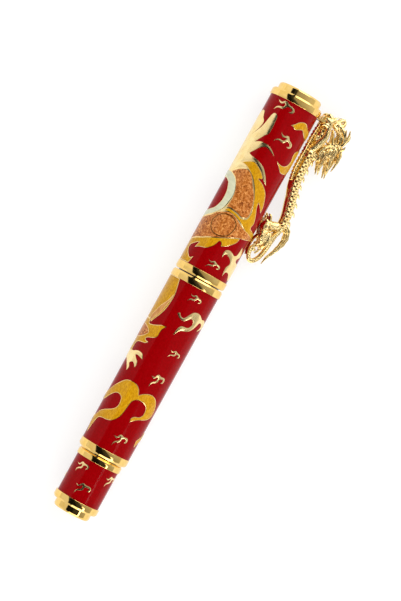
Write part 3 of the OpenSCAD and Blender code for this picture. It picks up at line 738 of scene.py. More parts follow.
# Places of the small clouds: round the shell, along it, how wide and how tall, and their lean in degrees
CAP_CLOUDS = [
    (-2.6, 140.5, 1.3, 1.05, -15), (2.7, 131.4, 1.15, 1.1, -30), (1.7, 87.8, 0.9, 0.75, -15),
    (16, 117.5, 1.1, 1, -10), (15.5, 106.5, 1, 0.9, 0), (-24.5, 139, 1.1, 1, -15),
    (-20.5, 88.6, 0.9, 0.8, 0), (24, 111, 1, 1, -20),
]
BARREL_CLOUDS = [
    (1.9, 76, 0.85, 0.75, -15), (4.8, 58.2, 0.85, 0.7, -12), (3.7, 48.9, 0.95, 1.1, 0),
    (2.4, 27.6, 0.95, 1, 0), (18.5, 75, 0.9, 0.8, -15), (19, 52, 0.85, 0.8, 0),
    (-20.5, 48.5, 0.85, 0.8, 0), (26, 28, 0.85, 0.8, -10),
]
KNOB_CLOUDS = [
    (-4.1, 14.9, 0.9, 0.85, 0), (7, 14.8, 0.95, 0.9, 0), (-0.6, 9.2, 1, 0.95, 0),
    (14.5, 9.5, 0.9, 0.8, 0), (20.5, 14, 0.8, 0.75, 0), (-13, 9.5, 0.9, 0.8, 0),
]


def clouds(places):
    """Small clouds, unrolled."""
    outlines = []
    for round_shell, along, wide, tall, lean in places:
        c, s = math.cos(math.radians(lean)), math.sin(math.radians(lean))
        outlines.append([
            (round_shell + x * wide * c - y * tall * s, along + x * wide * s + y * tall * c, *corner)
            for x, y, *corner in CLOUD])
    return outlines


def unrolled(shell, outlines):
    """Outlines seen from above, unrolled onto the shell."""
    return [[(shell.arc(p[0]), *p[1:]) for p in outline] for outline in outlines]


def carried_round(outlines, seam, shrink):
    """The shapes, and their mirror images beyond a seam along the shell, for the side that faces away.

    A shape with one edge on the seam grows together with its image.
    """
    shapes = []
    for outline in outlines:
        image = [(seam + (seam - p[0]) * shrink, *p[1:]) for p in outline]
        on_seam = [abs(p[0] - seam) < 0.001 for p in outline]
        edges = [i for i in range(len(outline)) if on_seam[i - 1] and on_seam[i]]
        if len(edges) == 1:
            start = edges[0]
            near = outline[start:] + outline[:start]
            far = image[start:] + image[:start]
            shapes.append([near[0][:2], *near[1:-1], near[-1][:2], *far[-2:0:-1]])
        else:
            shapes += [outline, image]
    return shapes


def moved(outlines, turn, shift):
    """Outlines moved round the shell and along it."""
    return [[(p[0] + turn, p[1] + shift, *p[2:]) for p in outline] for outline in outlines]


def add_motifs():
    cap, barrel, knob = Shell("cap"), Shell("barrel"), Shell("knob")
    left, right = cap.arc(LEFT_SEAM), cap.arc(RIGHT_SEAM)
    squeeze, ease = 0.62, 0.8
    cloud_seam, cloud_shrink = 13.8, 0.94
    second_scroll = 15.5, -3.5

    def cap_left(*outlines):
        return carried_round(unrolled(cap, outlines), left, squeeze)

    def cap_right(*outlines):
        return carried_round(unrolled(cap, outlines), right, ease)

    def barrel_left(*outlines):
        return carried_round(unrolled(barrel, outlines), barrel.arc(LEFT_SEAM), 1.0)

    plate = dict(fill=FLAT_GOLD, slot="gold_plate", rim=0.12, height=0.1, dome=0.05)
    enamelled = dict(slot="red_enamel", rim_material=FLAT_GOLD)
    add_motif("cap_ground", cap, cap_left(CAP_GROUND), **{**plate, "height": 0.05, "dome": 0.0})
    add_motif("cap_gold_paw", cap, cap_left(GOLD_PAW), **plate)
    add_motif("cap_flames", cap, cap_left(FLAME_MAIN, FLAME_LOW), YELLOW, **enamelled)
    add_motif("cap_side_flames", cap, cap_right(FLAME_TOP, FLAME_HOOK), YELLOW, **enamelled)
    add_motif("cap_scales", cap, cap_left(SCALE_PANEL, SCALE_FIELD), ORANGE, height=0.16, **enamelled)
    # the lobe's edge carries a painted shadow in dark brown
    add_motif("cap_scale_lobe", cap, unrolled(cap, [OVAL]), ORANGE, height=0.22,
              rim=0.28, **{**enamelled, "rim_material": LOBE_EDGE_SHADOW})
    add_motif("cap_belly", cap, cap_left(BELLY_BAND), MINT, height=0.18, **enamelled)
    add_motif("cap_gold_hook", cap, cap_right(GOLD_HOOK), **plate)
    add_motif("cap_clouds", cap, clouds(CAP_CLOUDS), **plate)
    add_motif("barrel_leg", barrel, barrel_left(LEG), YELLOW, height=0.18, **enamelled)
    add_motif("barrel_leg_stripe", barrel, barrel_left(LEG_STRIPE), PEACH, height=0.24, rim=0.12,
              **enamelled)
    edge_flames = carried_round(unrolled(barrel, [EDGE_FLAME]), barrel.arc(RIGHT_SEAM), ease)
    add_motif("barrel_foot", barrel, barrel_left(FOOT) + edge_flames, YELLOW, height=0.16, **enamelled)
    add_motif("barrel_foot_patch", barrel, barrel_left(FOOT_PATCH), ORANGE, height=0.2, rim=0.12,
              **enamelled)
    add_motif("barrel_paw", barrel, barrel_left(PAW), **plate)
    flat_scroll = unrolled(barrel, [SCROLL])
    add_motif("barrel_scroll", barrel, flat_scroll + moved(flat_scroll, *second_scroll), **plate)
    s_clouds = carried_round(unrolled(barrel, [S_CLOUD]), cloud_seam, cloud_shrink)
    add_motif("barrel_s_cloud", barrel, s_clouds, YELLOW, height=0.16, **enamelled)
    add_motif("barrel_clouds", barrel, clouds(BARREL_CLOUDS), **plate)
    add_motif("knob_clouds", knob, clouds(KNOB_CLOUDS), **plate)


# ---------------------------------------------------------------- rings and shells


def add_rings():
    """Every ring that shows, turned finely, with the shells between them."""
    for node, body, inner, free_edge in (
            ("knob_ring", "knob", 3.2, 1), ("barrel_rear_ring", "barrel", 7.05, -1),
            ("barrel_front_ring", "barrel", 7.05, 1), ("cap_lip_ring", "cap", 7.45, -1),
            ("crown_band", "cap", 2.05, 1)):
        lathe(node + "_turned", ring_profile(node, inner, free_edge), body, GOLD, "gold_plate", [node])
    low, high = span("crown_finial")
    band_top = span("crown_band")[1]
    r = radius_of("crown_finial")
    stud = 2.0
    lathe("crown_finial_turned", [
        (0, low, 0), (stud, low, 0.2), (stud, band_top, 0), (r, band_top - 0.02, 0), (r, high - 0.5, 0.1),
        (r - FACE_CHAMFER, high, 0.1), (r - FACE_EDGE, high, 0.1), (r - FLAT_FROM, high - FLAT_DEPTH, 0.1),
        (0, high - FLAT_DEPTH, 0)], "cap", GOLD, "gold_plate", ["crown_finial"])
    low, high = span("knob_finial")
    r = radius_of("knob_finial")
    step = r - 1.45
    step_end = 2.4
    lathe("knob_finial_turned", [
        (0, low + FLAT_DEPTH, 0), (step - FLAT_FROM, low + FLAT_DEPTH, 0.1), (step - FACE_EDGE, low, 0.1),
        (step - FACE_CHAMFER, low, 0.15), (step, low + CHAMFER, 0.2), (step, step_end, 0.1),
        (r - CHAMFER_DROP, step_end, 0.06), (r, step_end + CHAMFER, 0.1), (r, high, EDGE_ROUND),
        (0, high, 0)], "knob", GOLD, "gold_plate", ["knob_finial"])
    for body, bore in (("knob", 6.2), ("barrel", 7.0), ("cap", 7.4)):
        shell = Shell(body)
        wall = [(bore, shell.low, 0), (shell.rear, shell.low, 0), (shell.front, shell.high, 0),
                (bore, shell.high, 0)]
        lathe(body + "_shell_enamel", wall, body, RED, "red_enamel", [body + "_shell"], segments=224)


# ---------------------------------------------------------------- the nib

NIB_REAR, NIB_END = span("nib")
NIB_BASE = 3.05
NIB_FLARE = 1.5
NIB_THICK = 0.35
NIB_DROP = 1.3
NIB_NECK, NIB_SHOULDERS, NIB_TIP = 2.8, 4.3, 0.3
NECK_AT, SHOULDERS_AT, HOLE_AT = 0.24, 0.43, 0.52
HOLE = 0.55
SLIT = 0.05
NIB_GRAIN = 0.35


def nib_flare(u):
    """How far the nib has opened out at a share of its length, from 0 at its neck to 1 at its shoulders."""
    return math.sin(math.pi / 2 * max(0, min(1, (u - NECK_AT) / (SHOULDERS_AT - NECK_AT)))) ** 2


def nib_place(x, along, height):
    """A point on the curled sheet, x round it from its middle line."""
    u = (along - NIB_REAR) / (NIB_END - NIB_REAR)
    r = NIB_BASE + NIB_FLARE * nib_flare(u)
    spine = NIB_BASE - NIB_DROP * u * u
    turn = x / r
    return on_clip((r + height) * math.sin(turn), LENGTH - along, r - spine - (r + height) * math.cos(turn))


def nib_edge(u):
    """Half the sheet's width round its curl."""
    taper = (1 - max(0, u - SHOULDERS_AT) / (1 - SHOULDERS_AT)) ** 0.8
    half = NIB_TIP * (1 - taper) + (NIB_NECK + (NIB_SHOULDERS - NIB_NECK) * nib_flare(u)) * taper
    r = NIB_BASE + NIB_FLARE * nib_flare(u)
    return r * math.asin(min(0.97, half / r))


def nib_outline():
    """Round the sheet's edge to the tip, down the slit, round the breather hole and back."""
    length = NIB_END - NIB_REAR
    tip = NIB_END - NIB_GRAIN
    right = [(nib_edge(u), NIB_REAR + u * length) for u in np.linspace(0, (tip - NIB_REAR) / length, 60)]
    hole = [(HOLE * math.sin(a), NIB_REAR + HOLE_AT * length + HOLE * math.cos(a))
            for a in np.linspace(math.asin(SLIT / HOLE), math.pi, 12)]
    slit = [(SLIT, along) for along in np.linspace(tip, hole[0][1] + 0.2, 40)]
    half = right + slit + hole
    return np.array(half + [(-x, along) for x, along in half[-2::-1]])


def add_nib():
    """A curled sheet with its slit, its breather hole and the hard grain at its tip."""
    points, faces, _ = relief_mesh(nib_outline(), nib_place, 0.12, 0, 0, sink=NIB_THICK, grid=0.4)
    ends = [Vector(nib_place(0, NIB_END - NIB_GRAIN - back, -NIB_GRAIN / 2)) / MM for back in (0.5, 0)]
    grain, grain_faces = tube([(*end, NIB_GRAIN - 0.05) for end in ends], segments=20)
    points, faces = joined([(points, faces), (grain * MM, grain_faces)])
    add_piece("nib_sheet", points, faces, "barrel", [NIB_GOLD], "nib_gold", ["nib"])


# ---------------------------------------------------------------- the dragon

# Points are (out from the pen's axis, drop below the crown's face, sideways, radius)
TORSO = [
    (11.4, 5.4, 0, 1.3), (11.9, 8, 0, 2.1), (11.8, 11, 0, 2.15), (11.5, 14.5, 0, 1.9),
    (11.5, 18, 0, 1.95), (11.5, 21.5, 0, 1.95), (11.9, 25, 0, 1.85), (12.9, 28.5, 0, 1.8),
    (13.8, 31.8, 0, 1.8), (14.6, 35, 0, 1.65), (14.9, 38, 0, 1.5), (14.4, 40.6, 0, 1.3),
]
NECK = [
    (11.8, 14, 0, 1.3), (13.4, 14.6, 0, 1.3), (15.6, 14.2, 0, 1.4), (17.4, 12.4, 0, 1.5),
    (18.4, 10.2, 0, 1.4),
]
HEAD = [
    [(18.6, 11, 0, 1.35), (18.8, 9, 0, 1.3), (18.6, 6.9, 0, 1.1), (17.9, 5.2, 0, 1.1), (16.7, 3.9, 0, 1.2),
     (15.5, 3.2, 0, 1.25), (14.7, 3, 0, 1.1), (14.3, 3, 0, 0.9)],
    [(15, 2.4, 0, 0.8), (15.7, 1.5, 0, 0.7), (16.3, 0.9, 0, 0.5), (16.6, 0.4, 0, 0.2)],
    [(16.6, 3.3, 0, 0.8), (17.1, 2, 0, 0.6), (17.1, 0.9, 0, 0.25)],
    [(18, 10.4, 0, 1), (16.9, 9.6, 0, 0.75), (16.1, 8.2, 0, 0.6), (15.5, 6.8, 0, 0.5), (14.9, 5.7, 0, 0.45)],
    [(17, 5.4, 0, 0.5), (17, 7, 0, 0.6), (17.1, 8.6, 0, 0.6)],
]
HEAD_PAIRS = [
    [(14.7, 2.6, 0.7, 0.6), (14.3, 2.9, 0.8, 0.5)],
    [(13.9, 3.6, 0.5, 0.38), (14.7, 4.2, 0.85, 0.42), (15.8, 4.5, 1.05, 0.42), (17, 5.3, 1.1, 0.4),
     (17.6, 7, 1.1, 0.36)],
    [(15.9, 3.4, 0.8, 0.5), (16.9, 3.6, 1.3, 0.6), (18, 4.7, 1.55, 0.55), (18.9, 5.9, 1.7, 0.35),
     (19.3, 6.2, 1.8, 0.12)],
    [(18.4, 10.4, 0.9, 1), (17.3, 9.8, 1.1, 0.85), (16.3, 8.7, 1, 0.62), (15.6, 7.2, 0.8, 0.5),
     (15.1, 6, 0.6, 0.42), (14.6, 5.3, 0.45, 0.3)],
    [(16.4, 9.4, 0.9, 0.55), (15.4, 9.4, 1.2, 0.36), (14.8, 8.9, 1.3, 0.12)],
    [(18.9, 8.8, 0.8, 0.7), (19.6, 6.6, 1.6, 0.55), (19.5, 4.6, 2.3, 0.42), (18.9, 3, 2.8, 0.16)],
    [(19.3, 7.2, 1.2, 0.5), (18.6, 5, 1.8, 0.4), (17.9, 3.2, 2.1, 0.15)],
    [(19.6, 6.8, 1.5, 0.45), (20.1, 5.6, 2, 0.34), (20, 4.4, 2.3, 0.14)],
    [(19, 9.6, 1.1, 0.6), (19.9, 9, 2, 0.45), (20.1, 8, 2.5, 0.16)],
]
MANE_PAIRS = [
    [(18.8, 8.8, 1, 0.75), (20, 10.8, 1.5, 0.6), (20.3, 13.3, 1.6, 0.46), (20, 16.6, 1.5, 0.14)],
    [(18, 10.4, 1.4, 0.9), (18, 13.6, 1.6, 0.72), (18.6, 16.4, 1.4, 0.58), (19.2, 19.6, 1.1, 0.14)],
    [(16.6, 11.4, 1.3, 1), (16, 14.4, 1.6, 0.72), (16.1, 17, 1.5, 0.52), (16.8, 19.6, 1.3, 0.14)],
    [(15, 12.6, 1.2, 0.8), (14.5, 14.8, 1.5, 0.5), (14.3, 16.8, 1.4, 0.14)],
    [(19.2, 10.4, 0.5, 0.6), (19.5, 12.6, 0.7, 0.42), (19.4, 14.8, 0.6, 0.12)],
    [(16.9, 9.8, 1.4, 0.45), (15.4, 10.4, 1.8, 0.48), (14.2, 11.7, 1.9, 0.45), (13.9, 13.3, 1.8, 0.36),
     (14.5, 14.9, 1.7, 0.22)],
]
MANE_MIDDLE = [(18.2, 9.8, 0, 0.9), (17.8, 12.6, 0, 0.7), (17.4, 15.2, 0, 0.2)]
# The torso's upper and lower edges along the bar, staggered since the clip leans
EDGES = [
    [(9.6, 5.6, -1.2, 0.45), (9.3, 9, -1.4, 0.55), (9.3, 16, -1.4, 0.55), (9.35, 21, -1.4, 0.55),
     (9.9, 24.6, -1.3, 0.45)],
    [(10.3, 5.6, 1.2, 0.45), (10.5, 9, 1.4, 0.55), (10.5, 16, 1.4, 0.55), (10.6, 21, 1.4, 0.55),
     (11, 24.6, 1.3, 0.45)],
]
LEG_PAIRS = [
    [(12, 43.2, 1, 1.1), (11.6, 45, 1.1, 1.15), (11.2, 46.4, 1, 0.8)],
    [(11.2, 13.6, 1.2, 1.3), (12.2, 11.2, 1.7, 1.25), (13, 8.6, 2, 1), (12.6, 6, 2.3, 0.85),
     (12.2, 3.8, 2.3, 0.85), (12.2, 3.2, 2.3, 0.8)],
    [(13.6, 39.4, 1, 1.25), (12.1, 40, 1.2, 1.3), (10.3, 40.6, 1.4, 1.7), (10.1, 41.9, 1.5, 1.7),
     (10.3, 43.6, 1.7, 1.1), (10.5, 44.8, 1.8, 0.85), (11.4, 46, 1.7, 0.6), (10.4, 47.2, 1.5, 0.4)],
    [(15.6, 38.8, 1.1, 0.45), (14.7, 41.4, 1.3, 0.6), (13.5, 43.8, 1.4, 0.6), (12.9, 46.5, 1.3, 0.45),
     (12.4, 48.2, 1.1, 0.15)],
    [(12.4, 42.6, 1.5, 0.4), (13, 44.4, 1.7, 0.5), (12.7, 46.4, 1.6, 0.4), (12.1, 47.6, 1.4, 0.12)],
    [(11, 44.8, 1.9, 0.62), (11, 45.8, 1.9, 0.6)],
]
TOE_PAIRS = [
    [(12.4, 3.4, 1.9, 0.95), (11.8, 2.4, 1.8, 0.9), (11, 1.9, 1.7, 0.7), (10.2, 2.1, 1.6, 0.3),
     (9.9, 2.6, 1.6, 0.1)],
    [(12.2, 4, 2.3, 1), (11.3, 3.4, 2.4, 0.85), (10.5, 3.3, 2.4, 0.6), (10, 3.8, 2.3, 0.2)],
    [(12.3, 5, 2.3, 0.95), (11.4, 4.9, 2.5, 0.75), (10.6, 5.1, 2.5, 0.5), (10.2, 5.7, 2.4, 0.16)],
    [(12.6, 3.2, 2.2, 0.8), (13, 2.3, 2.2, 0.65), (12.9, 1.6, 2.2, 0.2)],
    [(10.3, 40.2, 1.7, 0.6), (9.8, 38.9, 1.6, 0.55), (9.3, 38.2, 1.4, 0.42), (8.9, 38.2, 1.3, 0.14)],
    [(10.4, 40, 2.1, 0.6), (10.1, 38.3, 2.1, 0.5), (9.6, 37.5, 2, 0.4), (9.1, 37.3, 1.8, 0.14)],
    [(10.2, 40.6, 2.3, 0.6), (9.5, 39.6, 2.3, 0.5), (9.1, 39.2, 2.1, 0.36), (8.9, 39.4, 2, 0.14)],
]
TAIL = [
    (14.7, 38.6, 0, 1.2), (14.5, 42, 0, 0.95), (14.3, 45, 0, 0.85), (13.9, 48.5, 0, 0.8),
    (13, 51.3, 0, 0.78), (11.5, 52.6, 0, 0.75), (10.2, 51.6, 0, 0.7), (9.8, 49.4, 0, 0.65),
    (10.4, 47.8, 0, 0.6), (11.6, 47.4, 0, 0.5), (12.2, 48.6, 0, 0.42), (11.6, 49.9, 0, 0.3),
]
TAIL_PLUME = [
    (14.9, 39.2, 0, 1.1), (16.4, 38.8, 0, 1.05), (17.6, 40, 0, 1), (18, 42.4, 0, 0.9),
    (17.5, 44.8, 0, 0.7), (16.5, 47.4, 0, 0.5), (15.5, 49.6, 0, 0.38), (15, 51.9, 0, 0.12),
]
# Spirals on the flanks: the middle's place, then the reach and the thickness
CURLS = [
    (13.1, 15.3, 1.5, 0.8, 0.3), (11, 9.6, 1.9, 0.75, 0.3), (10.2, 41.2, 3.15, 1.5, 0.36),
    (10.9, 44.9, 2.1, 0.8, 0.28), (10.6, 49, 0.5, 0.55, 0.25), (16.3, 12.8, 2, 0.85, 0.3),
    (17.4, 8.6, 1.75, 0.62, 0.22), (11.3, 12.6, 1.9, 0.7, 0.26),
]
# The clip's bar, as (out, drop)
BAR = [
    (9.8, 5.1), (9.8, 10), (9.8, 16), (9.85, 21), (10.1, 24), (10.7, 26.8), (11.9, 29.9), (13.1, 33.7),
    (13.75, 37.6), (13.4, 40.4), (12.2, 42.2), (10.6, 43.4), (9.3, 44.8), (8.7, 47), (8.7, 49.5),
    (9.2, 51.5),
]
# From the bar's upper end to its eye for the pin
BAR_NECK = [(10, 4.3), (9.95, 5), (9.85, 5.8)]
BAR_THICK = 0.8
BAR_WIDE = 2.4
INNER_BEVEL = 0.28
PIN = (10.3, 3.5)
SPIKES = 8
SPIKE_PITCH = 2.9
FIRST_SPIKE = 11.5
SCALE_PITCH = 1.6
VOXEL = 0.1
# How far out the rings of a limb's round end lie, as shares of its radius
ROUND_END = (0.45, 0.8, 0.96)


def spline(points, step):
    """A smooth curve through rows of numbers at even steps of the first three."""
    points = np.array(points, float)
    ends = np.vstack([2 * points[0] - points[1], points, 2 * points[-1] - points[-2]])
    dense = []
    for i in range(1, len(ends) - 2):
        dense += [catmull_rom(*ends[i - 1:i + 3], t) for t in np.linspace(0, 1, 24, endpoint=False)]
    dense = np.array(dense + [points[-1]])
    length = np.concatenate([[0], np.cumsum(np.linalg.norm(np.diff(dense[:, :3], axis=0), axis=1))])
    at = np.linspace(0, length[-1], max(2, int(length[-1] / step) + 1))
    return np.stack([np.interp(at, length, column) for column in dense.T], 1), at


def tube(route, pattern=None, flat=1.0, segments=24, step=0.16):
    """A limb along a route with round ends; pattern(along, round, radius) raises its skin."""
    rows, at = spline(route, step)
    centres, radii = rows[:, :3], rows[:, 3]
    tangents = np.gradient(centres, axis=0)
    tangents /= np.linalg.norm(tangents, axis=1)[:, None]
    first = np.cross(tangents[0], (0, 0, 1.0))
    if np.linalg.norm(first) < 0.1:
        first = np.cross(tangents[0], (1.0, 0, 0))
    out = first / np.linalg.norm(first)
    turn = np.linspace(0, 2 * np.pi, segments, endpoint=False)
    rings = []

    def ring(centre, radius, raised):
        side = np.cross(tangent, out)
        reach = radius + raised
        return centre + np.outer(np.cos(turn) * reach, out) + np.outer(np.sin(turn) * reach * flat, side)

    for i, tangent in enumerate(tangents):
        out = out - tangent * (out @ tangent)
        out /= np.linalg.norm(out)
        raised = pattern(at[i], turn, radii[i]) if pattern else 0
        if i == 0:
            rings += [ring(centres[0] - tangent * radii[0] * c, radii[0] * math.sqrt(1 - c * c), 0)
                      for c in ROUND_END[::-1]]
        rings.append(ring(centres[i], radii[i], raised))
    rings += [ring(centres[-1] + tangent * radii[-1] * c, radii[-1] * math.sqrt(1 - c * c), 0)
              for c in ROUND_END]
    return np.vstack(rings), capped_skin(len(rings), segments)


def ring_scales(along, turn, radius):
    """Rows of ring-shaped scales on both flanks, with a plain back and a wide plain belly."""
    raised = np.zeros(len(turn))
    bend = np.abs((turn + np.pi) % (2 * np.pi) - np.pi)
    for row, middle in enumerate((0.6, 1.15, 1.7)):
        shift = along / SCALE_PITCH + (0.5 if row % 2 else 0)
        near = (shift - np.round(shift)) * SCALE_PITCH
        away = np.hypot(near / 0.72, (bend - middle) * radius / 0.6)
        raised += 0.24 * np.exp(-((away - 0.74) / 0.22) ** 2) - 0.3 * np.exp(-(away / 0.46) ** 2)
    return raised


def small_scales(along, turn, radius):
    """Fine round scales, as on the legs and the neck."""
    pitch = 0.8
    count = max(5, round(2 * np.pi * radius / pitch))
    row = np.round(along / pitch)
    near = along - row * pitch
    place = turn / (2 * np.pi) * count + (0.5 if row % 2 else 0)
    sideways = (place - np.round(place)) * 2 * np.pi * radius / count
    away = np.hypot(near, sideways) / pitch
    return 0.13 * np.exp(-((away - 0.3) / 0.13) ** 2) - 0.09 * np.exp(-(away / 0.2) ** 2)


def hair(along, turn, radius):
    """Grooves along a strand that wave a little."""
    wave = 1.2 * math.sin(along * 1.6)
    return 0.2 * radius * np.cos(9 * turn + wave) + 0.08 * radius * math.sin(along * 2.9)


def knobs(along, turn, radius):
    """A row of round knobs, with furrows across between them."""
    return 0.3 * abs(math.sin(along * np.pi / 1.15)) - 0.18 + 0.08 * np.cos(4 * turn)


def beads(along, turn, radius):
    """A groove with a row of beads on both flanks."""
    groove = np.exp(-((np.abs(np.cos(turn))) * radius / 0.26) ** 2)
    return groove * (-0.32 + 0.24 * (0.5 + 0.5 * math.cos(along * 2 * np.pi / 0.75))) * min(1, radius / 0.7)


def mirrored(route):
    """A route and its image on the dragon's other flank."""
    return [route, [(x, drop, -side, r) for x, drop, side, r in route]]


def curl(x, drop, side, reach, thick):
    """One and a bit turns of a spiral that lies on a flank."""
    turns = np.linspace(0, 2.7 * np.pi, 20)
    return [(x + math.cos(a) * reach * (1 - a / 12), drop + math.sin(a) * reach * (1 - a / 12),
             side, thick * (1 - a / 16)) for a in turns]


def back_spikes():
    """Flat thorns along the back that lean towards the tail."""
    rows, at = spline(TORSO, 0.1)
    thorns = []
    for k in range(SPIKES):
        i = int(np.searchsorted(at, FIRST_SPIKE + k * SPIKE_PITCH))
        x, drop, _, r = rows[i]
        tangent = rows[min(i + 3, len(rows) - 1), :2] - rows[i - 3, :2]
        tangent /= np.linalg.norm(tangent)
        out = np.array([tangent[1], -tangent[0]])
        foot = np.array([x, drop]) + out * (r - 0.5)
        middle = foot + out * 0.85 + tangent * 0.35
        tip = foot + out * 1.5 + tangent * 1.35
        thorns.append([(*foot, 0, 0.75), (*middle, 0, 0.5), (*tip, 0, 0.1)])
    return thorns


def dragon_limbs():
    """Every limb of the casting as closed tubes, which still run through each other."""
    limbs = [tube(TORSO, ring_scales, segments=72, step=0.12), tube(NECK, small_scales, segments=48),
             tube(TAIL, beads, flat=1.1, segments=48, step=0.12), tube(TAIL_PLUME, hair, segments=48),
             tube(MANE_MIDDLE, hair, segments=40)]
    limbs += [tube(route, small_scales if route is HEAD[0] else None, segments=40) for route in HEAD]
    limbs += [tube(route, flat=0.55, segments=20) for route in back_spikes()]
    limbs += [tube(route, knobs, segments=40) for route in EDGES]
    for routes, pattern in ((HEAD_PAIRS, None), (MANE_PAIRS, hair), (LEG_PAIRS, small_scales),
                            (TOE_PAIRS, None)):
        for route in routes:
            limbs += [tube(side, pattern, segments=40) for side in mirrored(route)]
    for place in CURLS:
        limbs += [tube(side, segments=20) for side in mirrored(curl(*place))]
    return limbs


def cast_together(limbs):
    """Joins overlapping closed limbs into one skin and returns its points and faces, in millimetres."""
    points, faces = joined(limbs)
    mesh = bpy.data.meshes.new("casting")
    mesh.from_pydata(points, [], faces)
    obj = bpy.data.objects.new("casting", mesh)
    bpy.context.scene.collection.objects.link(obj)
    remesh = obj.modifiers.new("join", "REMESH")
    remesh.mode = "VOXEL"
    remesh.voxel_size = VOXEL
    smooth = obj.modifiers.new("smooth", "SMOOTH")
    smooth.factor = 0.4
    smooth.iterations = 2
    thin = obj.modifiers.new("thin", "DECIMATE")
    thin.ratio = 0.55
    graph = bpy.context.evaluated_depsgraph_get()
    result = bpy.data.meshes.new_from_object(obj.evaluated_get(graph))
    bpy.data.objects.remove(obj)
    places = np.empty(len(result.vertices) * 3)
    result.vertices.foreach_get("co", places)
    return places.reshape(-1, 3), [tuple(f.vertices) for f in result.polygons]


def hollow_shade_mask(mesh):
    """For each point, how far it lies below its smoothed surroundings, from 0 to 1, which sets the painted
    shade in the hollows.
    """
    count = len(mesh.vertices)
    places = np.empty(count * 3)
    mesh.vertices.foreach_get("co", places)
    places = places.reshape(-1, 3) / MM
    normals = np.array([v.normal for v in mesh.vertices])
    edges = np.array([e.vertices for e in mesh.edges])
    share = np.bincount(edges.ravel(), minlength=count)[:, None]
    soft = places
    for _ in range(10):
        total = np.zeros_like(soft)
        np.add.at(total, edges[:, 0], soft[edges[:, 1]])
        np.add.at(total, edges[:, 1], soft[edges[:, 0]])
        soft = 0.4 * soft + 0.6 * total / share
    depth = ((soft - places) * normals).sum(1)
    shallow, deep = 0.015, 0.075
    return np.clip((depth - shallow) / (deep - shallow), 0, 1)


WHISKER_PAIRS = [
    [(14.6, 2.9, 0.9, 0.24), (14.2, 1.9, 1.4, 0.2), (14.7, 0.9, 1.8, 0.14), (15.5, 0.7, 2.0, 0.05)],
    [(15.6, 3.4, 0.9, 0.24), (16.2, 4.6, 1.8, 0.18), (17.2, 5.6, 2.3, 0.13), (18.2, 6.0, 2.5, 0.05)],
]
UPPER_TEETH = [(14.1, 4.0), (14.7, 4.5), (15.3, 4.7), (15.9, 5.0), (16.5, 5.5)]
LOWER_TEETH = [(14.9, 5.3), (15.4, 6.2), (15.8, 7.0), (16.2, 7.8)]
EYE = (17.0, 4.75, 1.2)


def fine_details():
    """What is too small for the cast skin: eyes, teeth and whiskers."""
    x, drop, side = EYE
    routes = [[(x, drop, side, 0.45), (x, drop, side + 0.12, 0.45)]] + WHISKER_PAIRS
    for x, drop in UPPER_TEETH:
        routes.append([(x, drop - 0.15, 0.45, 0.16), (x - 0.05, drop + 0.45, 0.47, 0.03)])
    for x, drop in LOWER_TEETH:
        routes.append([(x, drop + 0.15, 0.4, 0.14), (x - 0.05, drop - 0.4, 0.42, 0.03)])
    return [tube(side_route, segments=16) for route in routes for side_route in mirrored(route)]


def clip_bar_section(route, half_thick, half_wide, corners=36):
    """Sweeps a softly rounded strip along a route in the clip's middle plane, narrower on its inner face."""
    rows, _ = spline([(x, drop, 0, 0) for x, drop in route], 0.3)
    tangents = np.gradient(rows[:, :2], axis=0)
    tangents /= np.linalg.norm(tangents, axis=1)[:, None]
    turn = np.linspace(0, 2 * np.pi, corners, endpoint=False)
    thick = half_thick * np.sign(np.cos(turn)) * np.abs(np.cos(turn)) ** 0.8
    wide = half_wide * np.sign(np.sin(turn)) * np.abs(np.sin(turn)) ** 0.6
    wide = wide * (1 - INNER_BEVEL * (1 - thick / half_thick))
    points = [(x + td * t, drop - tx * t, w)
              for (x, drop, _, _), (tx, td) in zip(rows, tangents) for t, w in zip(thick, wide)]
    return points, capped_skin(len(rows), corners)


def knuckle(near, far, outer, bore, corners=40):
    """The eye that turns on the clip's pin, between two sides."""
    edge = 0.08
    profile = [(bore, near), (outer - edge, near), (outer, near + edge), (outer, far - edge),
               (outer - edge, far), (bore, far)]
    turns = [2 * np.pi * k / corners for k in range(corners)]
    points = [(PIN[0] + r * math.cos(a), PIN[1] + r * math.sin(a), side)
              for a in turns for r, side in profile]
    return points, skin(corners, len(profile), closed=True)


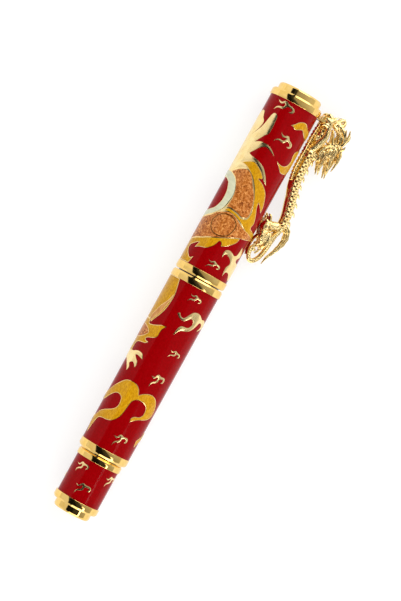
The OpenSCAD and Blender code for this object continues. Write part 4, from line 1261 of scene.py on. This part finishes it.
def add_clip_bar():
    """The sprung strip that the dragon lies on, with its eye for the pin."""
    near, far = -0.2, 1.1
    neck_points, neck_faces = clip_bar_section(BAR_NECK, half_thick=0.5, half_wide=0.6)
    neck_points = [(x, drop, side + (near + far) / 2) for x, drop, side in neck_points]
    points, faces = joined([clip_bar_section(BAR, BAR_THICK / 2, BAR_WIDE / 2), (neck_points, neck_faces),
                            knuckle(near, far, outer=0.9, bore=0.5)])
    add_piece("clip_strip", [on_clip(*p) for p in points], faces, "clip", [GOLD], "gold_plate", ["clip_bar"])


def add_dragon():
    """The casting and its fine details as one piece, with its hollows marked for the painted shade in its
    material.
    """
    points, faces = joined([cast_together(dragon_limbs())] + fine_details())
    dragon = add_piece("dragon", [on_clip(*p) for p in points], faces, "clip", [CAST_GOLD], "cast_gold",
                       ["dragon_torso", "dragon_forelegs", "dragon_head", "dragon_tail"], crease=60)
    # how deep each point lies in a hollow, which the cast gold turns into painted shade
    hollow_shade_amount = dragon.data.attributes.new("hollow_shade_amount", "FLOAT", "POINT")
    hollow_shade_amount.data.foreach_set("value", hollow_shade_mask(dragon.data))


# ---------------------------------------------------------------- everything in turn

KEPT_NODES = {
    GOLD: ["section_ring", "clutch_ring", "clip_bracket", "piston_guide"],
    BRASS: ["knob_core", "barrel_liner", "cap_liner", "cap_plug"],
    STEEL: ["spindle", "spindle_collar", "clip_pin", "clip_spring"],
    BLACK: ["section", "nib_housing", "feed", "inner_cap", "piston_core"],
    CLEAR: ["ink_chamber"],
    WHITE: ["thrust_washer", "piston_rod"],
    RUBBER: ["piston_seal", "chamber_seal"],
}


def paint_kept_nodes():
    """Gives the CAD nodes that show as they are their materials."""
    for material, nodes in KEPT_NODES.items():
        for node in nodes:
            mesh = frame["nodes"][node].data
            mesh.materials.clear()
            mesh.materials.append(material)


add_camera()
add_world()
add_floor()
add_light("overhead_soft", location=(0.25, 0.1, 1.4), size=1.6, power=8)
add_light("left_soft", location=(-1.2, -0.3, 1.0), size=1.2, power=4)
paint_kept_nodes()
add_rings()
add_motifs()
add_nib()
add_clip_bar()
add_dragon()
bpy.context.scene.view_settings.view_transform = "Standard"
